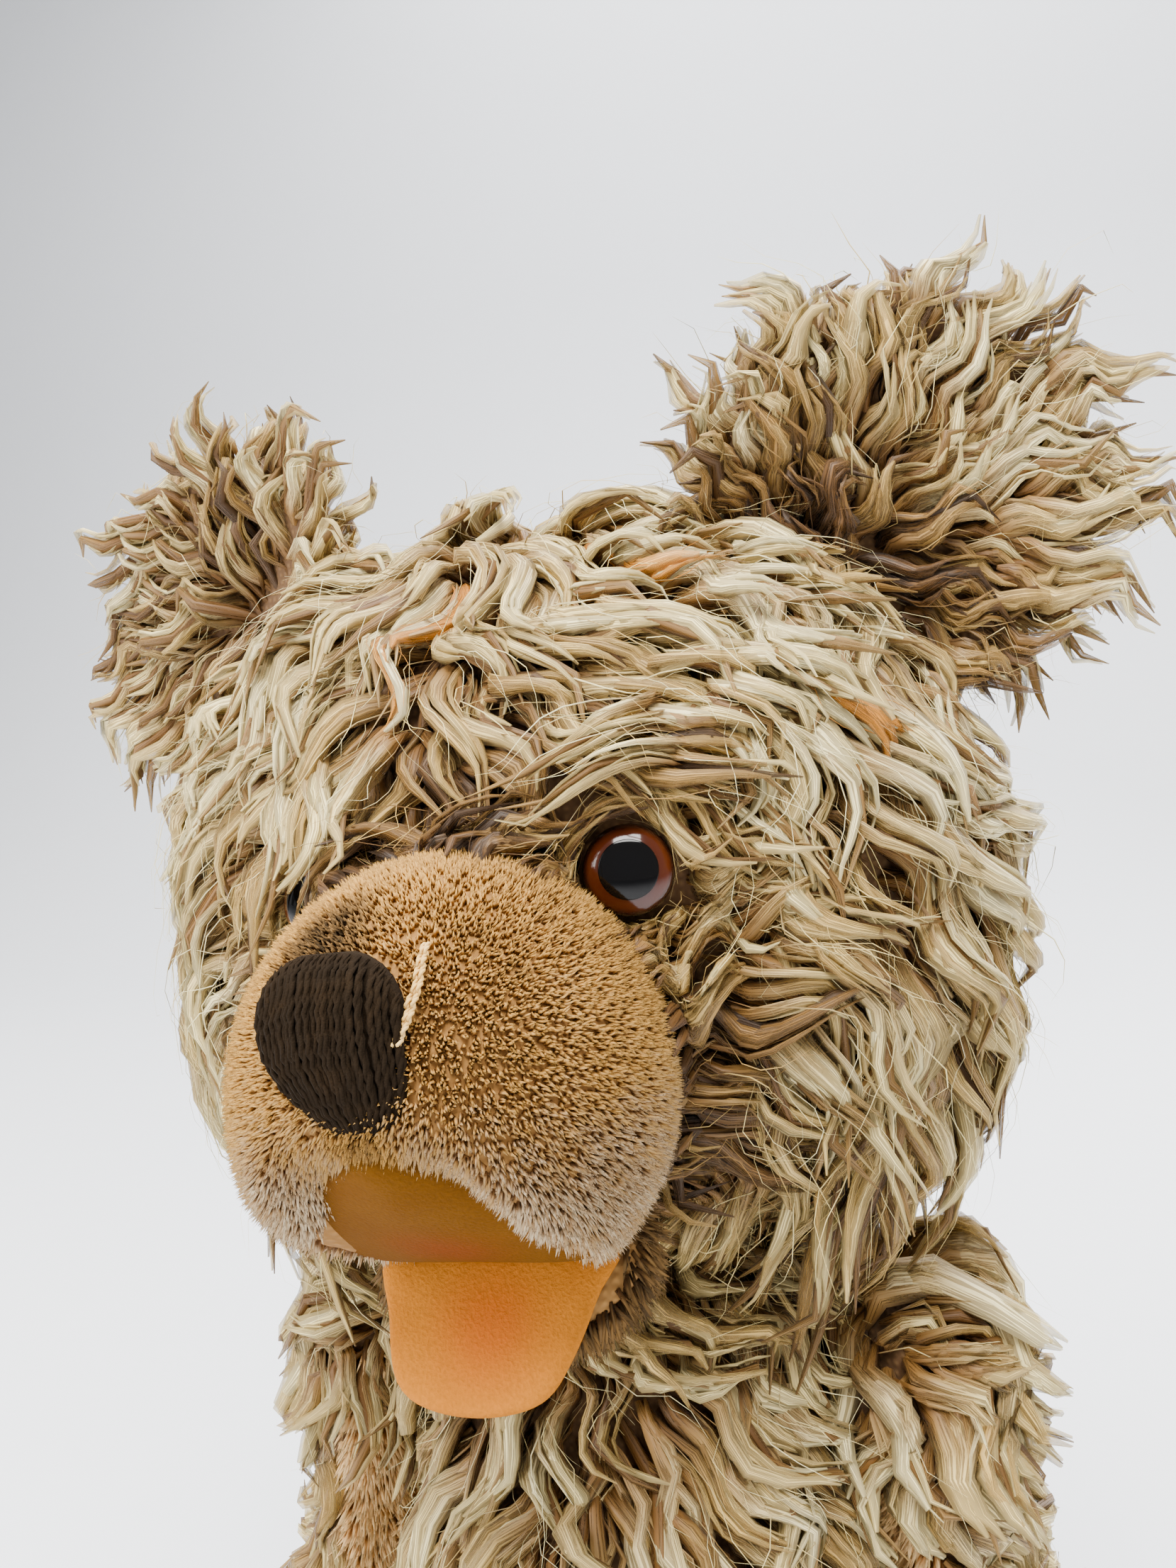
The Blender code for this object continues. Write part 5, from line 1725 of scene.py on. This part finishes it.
@dataclass
class Torso:
    """The stuffed body with its coat, laid out in the bear's own frame."""

    form: Loft = Loft((
        (1.5, 0, -6, 12, 19), (5, 0, -6, 18, 28), (14, 0, -6, 25, 33), (30, 0, -5.5, 32, 37), (58, 0, -4, 33, 37),
        (80, 0, -1, 32, 34.5), (100, 0, 2, 31.5, 30), (117, 0, 3, 30.5, 26), (127, 0, 3, 28, 23),
        (134, 0, 2, 24, 20), (138, 0, 2, 20, 17)))
    habit: Habit = Habit(length=30, height=7.5, spread=4.6, swirl=28, tone=0.63)

    def spacing(self, points: Array) -> Array:
        """Distances between roots: none under the seat, at the neck and behind the limbs' seats."""
        x, y, z = points.T
        gap = np.where((z > 62) & (y < 10), 5.4, 7.0) * (1 - 0.25 * ease(112, 124, z))
        gap[(z < 9) | (z > 137)] = 0
        gap[(np.hypot(y - 6, z - 108) < 15) & (np.abs(x) > 20)] = 0
        gap[(np.hypot(y + 17, z - 30) < 18) & (np.abs(x) > 14)] = 0
        return gap

    @staticmethod
    def comb(points: Array) -> Array:
        """Down, and a little outward from the middle of the chest."""
        x, _, z = points.T
        return np.stack([0.35 * np.tanh(x / 12), 0 * x, -1 + 0.5 * ease(110, 130, z)], -1)

    def build(self) -> list[Piece]:
        """The torso's cloth and coat."""
        rng = np.random.default_rng(51)
        points, faces = self.form.surface(30, 36)
        skin = solid("torso_cloth", points, faces, BACKING)
        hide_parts("torso")
        roots = self.form.roots(rng, self.spacing, 5000)
        x, y, z = roots.T
        near_limb = ease(30, 17, np.hypot(y + 17, z - 30)) * ease(14, 22, np.abs(x))
        armpit = ease(50, 70, z) * ease(20, 30, np.abs(x)) * ease(30, 10, y)
        length = 1 - 0.4 * near_limb - 0.3 * ease(30, 10, z) - 0.25 * armpit - 0.3 * ease(112, 130, z)
        height = 1 - 0.6 * near_limb - 0.3 * ease(24, 8, z) + 0.3 * armpit
        locks = lay_locks(self.form, roots, self.comb, self.habit, rng, length, height, -0.1 * ease(40, 10, z))
        locks.spine[..., 2] = np.maximum(locks.spine[..., 2], SPINE_CLEAR)
        high = (locks.spine[:, 0, 2] > 62) & (locks.spine[:, 0, 1] < 10)
        pieces = [skin, locks.part(high).grow("chest_coat", LONG_COAT, 60, 6, 3, points=8, width=2.2),
                  locks.part(~high).grow("torso_coat", LONG_COAT, 61, 4, 1, points=7, width=3.4)]
        LOG.info("torso: %d locks", len(locks))
        return pieces


@dataclass
class Limb(Sided):
    """An arm or a leg, laid out as a left one from its joint.

    The long coat starts at the first place along it and ends at the last. It stays off the inner face, which is what
    looks along the inner way by more than the inner share.
    """

    place: Place
    inner_way: Triple
    kind: LimbKind
    form: Loft
    axes: tuple[Triple, Triple, Triple]
    gap: float
    habit: Habit
    strips: int
    first: float
    last: float
    comb_way: Triple
    inner_share: float

    def inside(self, points: Array) -> Array:
        """How far points face inward, past the share that counts as the inner face."""
        facing = self.form.normal(points) @ np.array(self.inner_way)
        return facing - self.inner_share - 2 * ease(2, -6, points[:, 2])

    def spacing(self, points: Array) -> Array:
        """Distances between roots: none on the inner face and at the ends."""
        bare = (self.inside(points) > 0) | (points[:, 2] < self.first) | (points[:, 2] > self.last)
        return np.where(bare, 0, self.gap * (1 - 0.4 * ease(4, -6, points[:, 2])))

    def short_coat(self, skin: Piece, inner: Place, points: Array) -> Piece:
        """The short peach pile on the inner face."""
        amount = ease(-0.1, 0.1, self.inside(points)) * ease(76, 70, points[:, 2])
        pile_values(skin, inner, amount, 0.5 + 0.3 * soft_noise(points, 12, 5.0), 5.0, (0.0, 0.0, 0.6))
        return PILE.grow(f"arm_short_coat_{self.side_name}", skin.data.copy(), PEACH_COAT, Density=1.8e6,
                         Width=0.0006, Clump_Size=0.0024, Clump=150.0, Jitter=0.35, Seed=9)

    def comb(self, points: Array) -> Array:
        """The limb's combing, down its length, and outward over its top."""
        return np.array(self.comb_way, float) + ease(-5, -12, points[:, 2])[:, None] * (2.5, 0.0, 0.0)

    def build(self) -> list[Piece]:
        """The limb's cloth and coat."""
        rng = np.random.default_rng(self.kind.value + (self.place.side is Side.LEFT))
        inner = Place(self.place.turn @ self.place.side.mirror @ np.array(self.axes, float).T, self.place.origin)
        points, faces = self.form.surface(26, 28)
        skin = solid(f"{self.kind}_cloth_{self.side_name}", inner.out(points), faces, BACKING)
        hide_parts(f"{self.kind}_{self.side_name}")
        roots = self.form.roots(rng, self.spacing, 3500)
        locks = lay_locks(self.form, roots, self.comb, self.habit, rng, height=1 + 0.6 * ease(10, -12, roots[:, 2]))
        placed = locks.moved(inner)
        placed.spine[..., 2] = np.maximum(placed.spine[..., 2], SPINE_CLEAR)
        coat = placed.grow(f"{self.kind}_coat_{self.side_name}", LONG_COAT, 90, self.strips, 1, points=6, width=3.0)
        LOG.info("%s %s: %d locks", self.side_name, self.kind, len(locks))
        return [skin, coat] + ([self.short_coat(skin, inner, points)] if self.kind is LimbKind.ARM else [])


@dataclass
class Arm(Limb):
    """An arm, which hangs and widens to its paw."""

    kind: LimbKind = LimbKind.ARM
    form: Loft = Loft((
        (-15, 11.5, 0, 4, 5), (-10, 12, 0, 8.5, 12), (4, 13, 0, 9.5, 16), (20, 14.5, 0, 9, 15),
        (38, 18.5, 0, 8.5, 13), (58, 27, 0, 9, 12), (70, 30, 0, 9, 12.5), (77, 31, 0, 6, 8), (80, 31, 0, 2, 3)))
    axes: tuple[Triple, Triple, Triple] = ((1, 0, 0), (0, -1, 0), (0, 0, -1))
    gap: float = 5.4
    habit: Habit = Habit(length=22, height=5.5, spread=4.2, swirl=26, tone=0.66)
    strips: int = 5
    first: float = -15.5
    last: float = 90
    comb_way: Triple = (0.15, 0, 1)
    inner_share: float = 0.3


@dataclass
class Leg(Limb):
    """A leg, which lies forward and ends in its foot."""

    kind: LimbKind = LimbKind.LEG
    form: Loft = Loft((
        (-17, 11.5, 0, 5, 7), (-11, 12, 0, 10, 18), (4, 12.5, -1, 11, 22), (30, 13.5, -4.5, 10.5, 21),
        (60, 15, -7.5, 11.5, 18), (80, 16.5, -4.5, 13.5, 21), (94, 17.5, 2.5, 15.5, 28),
        (103, 17.5, 4.5, 15.5, 29.5), (108, 17.5, 4.5, 14, 28)))
    axes: tuple[Triple, Triple, Triple] = ((1, 0, 0), (0, 0, 1), (0, -1, 0))
    gap: float = 7.2
    habit: Habit = Habit(length=20, height=4.2, wave=2.0, spread=5.4, swirl=24)
    strips: int = 4
    first: float = -15
    last: float = 101
    comb_way: Triple = (0.2, 0.1, 1)
    inner_share: float = 1.2


@dataclass
class Pads(Sided):
    """The peach inner side of an arm, its paw pad, and the sole of a foot."""

    place: Place
    leg: Place
    slope: float = 0.18

    def cushion(self, name: str, place: Place, centre: Triple, half: Triple, finish: Finish,
                slope: float = 0.0) -> tuple[Piece, Array]:
        """A lens-shaped cushion with soft edges, which slopes outward along a limb."""
        def shape(d: Array) -> Array:
            """The lens."""
            local = np.sign(d) * np.abs(d) ** 0.8 * np.array(half)
            local[:, 0] -= slope * local[:, 2]
            return np.array(centre) + local
        points, faces = ball(40, 22, shape)
        return solid(name, place.out(points), faces, finish), points

    def build(self) -> list[tuple[str, Piece]]:
        """All three pads of a side, with the body that each rides on."""
        made = []
        felt = FeltFinish(f"pad_felt_{self.side_name}", roughness=0.95, specular=0.1, ground=(0.76, 0.60, 0.36),
                          worn=(0.68, 0.50, 0.31), stain=(0.50, 0.37, 0.24), stain_mm=12, stain_share=0.6,
                          stain_at=tuple(self.leg.out((18.0, -111.0, -10.0))))
        panel, p = self.cushion(f"arm_panel_cloth_{self.side_name}", self.place, (10.4, 0, -41), (3.0, 11, 22),
                                MUZZLE_BACKING, self.slope)
        pile_values(panel, self.place, ease(12.5, 9.5, p[:, 0] - self.slope * (-41 - p[:, 2])), 0.5, 3.8,
                    (0.0, 0.0, -0.5))
        pile = PILE.grow(f"arm_panel_coat_{self.side_name}", panel.data.copy(), PEACH_COAT, Density=1.6e6,
                         Width=0.0006, Clump_Size=0.0024, Clump=300.0, Jitter=0.25, Seed=8)
        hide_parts(f"arm_inner_{self.side_name}")
        made += [("arm", panel), ("arm", pile)]
        paw, _ = self.cushion(f"paw_pad_felt_{self.side_name}", self.place, (19.6, 0, -71.5), (3.0, 8.5, 8.5), felt,
                              self.slope)
        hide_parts(f"paw_pad_{self.side_name}")
        made.append(("arm", paw))
        sole, _ = self.cushion(f"foot_pad_felt_{self.side_name}", self.leg, (18, -109.6, 5), (13.2, 1.9, 24.5),
                               felt)
        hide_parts(f"foot_pad_{self.side_name}")
        made.append(("leg", sole))
        return made


@dataclass(frozen=True)
class Lamp:
    """A square soft lamp aimed at a point; its places and its size are metres and its power watts."""

    name: str
    spot: Triple
    size: float
    power: float
    colour: Colour
    target: Triple = (0.0, -0.02, 0.19)

    def build(self) -> None:
        """The lamp."""
        data = bpy.data.lights.new(self.name, "AREA")
        data.shape, data.size, data.energy, data.color = "SQUARE", self.size, self.power, self.colour
        made = bpy.data.objects.new(self.name, data)
        made.location = self.spot
        made.rotation_euler = (Vector(self.target) - Vector(self.spot)).to_track_quat("-Z", "Y").to_euler()
        bpy.context.scene.collection.objects.link(made)


@dataclass
class Studio:
    """A pale floor that curves up behind, soft lights and the camera, which is laid out from the head."""

    head: Place
    eye_point: Triple = (66.5, -191.2, 16.8)
    forward: Triple = (-0.308, 0.951, -0.021)
    roll: float = 7.7
    lens: float = 27.26
    reach: float = 9000
    sweep_at: float = 700
    sweep_radius: float = 900
    sky: Colour = (0.9, 0.89, 0.87)
    sky_strength: float = 0.58
    lamps: tuple[Lamp, ...] = (
        Lamp("key_light", (0.12, -0.5, 1.2), 0.7, 48, (1.0, 0.98, 0.94)),
        Lamp("fill_light", (-0.9, -0.7, 0.6), 0.7, 22, (1.0, 0.98, 0.95)),
        Lamp("rim_light", (0.5, 0.6, 0.6), 0.6, 10, (1.0, 1.0, 1.0)),
        Lamp("floor_light", (0.0, 0.9, 1.9), 1.4, 72, (1.0, 1.0, 1.0), (0.0, 0.7, 0.0)))

    def floor(self) -> None:
        """The floor and its sweep."""
        start, radius = self.sweep_at, self.sweep_radius
        sweep = [(start + radius * math.sin(angle), radius - radius * math.cos(angle))
                 for angle in np.linspace(0.1, math.pi / 2, 16)]
        line = [(-self.reach, 0), (start, 0), *sweep, (start + radius, 4000)]
        rows = [(side, y, z) for y, z in line for side in (-self.reach, self.reach)]
        faces = [(2 * i, 2 * i + 1, 2 * i + 3, 2 * i + 2) for i in range(len(line) - 1)]
        mesh = bpy.data.meshes.new("studio_floor")
        mesh.from_pydata((np.array(rows) * MM).tolist(), [], faces)
        mesh.shade_smooth()
        mesh.materials.append(FLOOR.material())
        new_object("studio_floor", mesh)

    def camera(self) -> None:
        """The camera, near the head and rolled."""
        data = bpy.data.cameras.new("camera")
        data.lens, data.clip_start, data.clip_end = self.lens, 0.01, 20
        camera = bpy.data.objects.new("camera", data)
        forward = unit(np.array(self.forward))
        right = unit(np.cross(forward, (0, 0, 1)))
        up = np.cross(right, forward)
        tilt = math.radians(self.roll)
        up, right = up * math.cos(tilt) + right * math.sin(tilt), right * math.cos(tilt) - up * math.sin(tilt)
        axes = self.head.aim(np.array([right, up, -forward])).T
        place = Matrix.Translation(Vector(self.head.out(self.eye_point) * MM))
        camera.matrix_world = place @ Matrix(axes.tolist()).to_4x4()
        bpy.context.scene.collection.objects.link(camera)
        bpy.context.scene.camera = camera

    def build(self) -> None:
        """Floor, light and camera."""
        self.floor()
        for lamp in self.lamps:
            lamp.build()
        world = bpy.data.worlds.new("soft_room")
        world.use_nodes = True
        background = world.node_tree.nodes["Background"].inputs
        background["Color"].default_value = (*self.sky, 1)
        background["Strength"].default_value = self.sky_strength
        bpy.context.scene.world = world
        self.camera()


def ride_all(pieces: list[Piece], body: str) -> None:
    """Let pieces ride on a body."""
    for piece in pieces:
        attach(piece, body)


def joint_of(name: str) -> dict[str, Any]:
    """A joint's row in the frame."""
    return next(joint for joint in frame["joints"] if joint["name"] == name)


def joint_place(name: str) -> Array:
    """A joint's place in millimetres."""
    return np.array(joint_of(name)["pos_m"]) / MM


def head_place() -> Place:
    """The skull's frame, which leans about the neck."""
    up = unit(np.array(joint_of("neck_swivel")["axis"], float))
    turn = np.stack([np.array([up[2], 0, -up[0]]), (0, 1, 0), up], -1)
    return Place(turn, joint_place("neck_swivel") + turn @ np.array([0, -2, 58.0]))


def dress_fittings() -> None:
    """Fibre board on the joints' discs and steel on the other hidden fittings."""
    finishes = {"_disc": BOARD, "_washer": STEEL, "_pin": STEEL, "_wire_left": STEEL, "_wire_right": STEEL}
    for name, node in frame["nodes"].items():
        for ending, finish in finishes.items():
            if name.endswith(ending):
                node.data.materials.clear()
                node.data.materials.append(finish.material())


def main() -> None:
    """Build the bear piece by piece."""
    logging.basicConfig(level=logging.INFO, format="%(name)s: %(message)s")
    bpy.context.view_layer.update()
    dress_fittings()
    head = head_place()
    ride_all(Head(head).build(), "head")
    ear_turn = turn_matrix("Z", 18) @ turn_matrix("Y", 22)
    for side, *coat in ((Side.LEFT, 31, (-10, -17), 0.3, 0.3), (Side.RIGHT, 32, (-9, 3), 0.1, 0.0)):
        mirrored = Place(head.turn, head.origin, side)
        ride_all(Ear(mirrored.within(ear_turn, (60, 5, 52)), *coat).build(), "head")
        iris, pupil = Eye(mirrored).build()
        ride_all([iris], "head")
        ride_all([pupil], "head")
    muzzle = Muzzle(head)
    ride_all(muzzle.build(), "head")
    ride_all(Mouth(muzzle).build(), "head")
    ride_all(Nose(head).build(), "head")
    ride_all(Torso().build(), "torso")
    inner_ways = {Side.LEFT: (-0.985, 0.17, 0), Side.RIGHT: (-0.64, 0.77, 0)}
    for side, inner_way in inner_ways.items():
        name = str(side)
        arm = Place(turn_matrix("X", 8), joint_place(f"shoulder_{name}_swing"), side)
        leg = Place(np.eye(3), joint_place(f"hip_{name}_swing"), side)
        ride_all(Arm(arm, inner_way).build(), f"arm_{name}")
        ride_all(Leg(leg, (-1, 0, 0)).build(), f"leg_{name}")
        for body, piece in Pads(arm, leg).build():
            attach(piece, f"{body}_{name}")
            "inner_arm_pile" if "panel" in piece.name else "pad_felt"
    Studio(head).build()


if __name__ == "__main__":
    main()
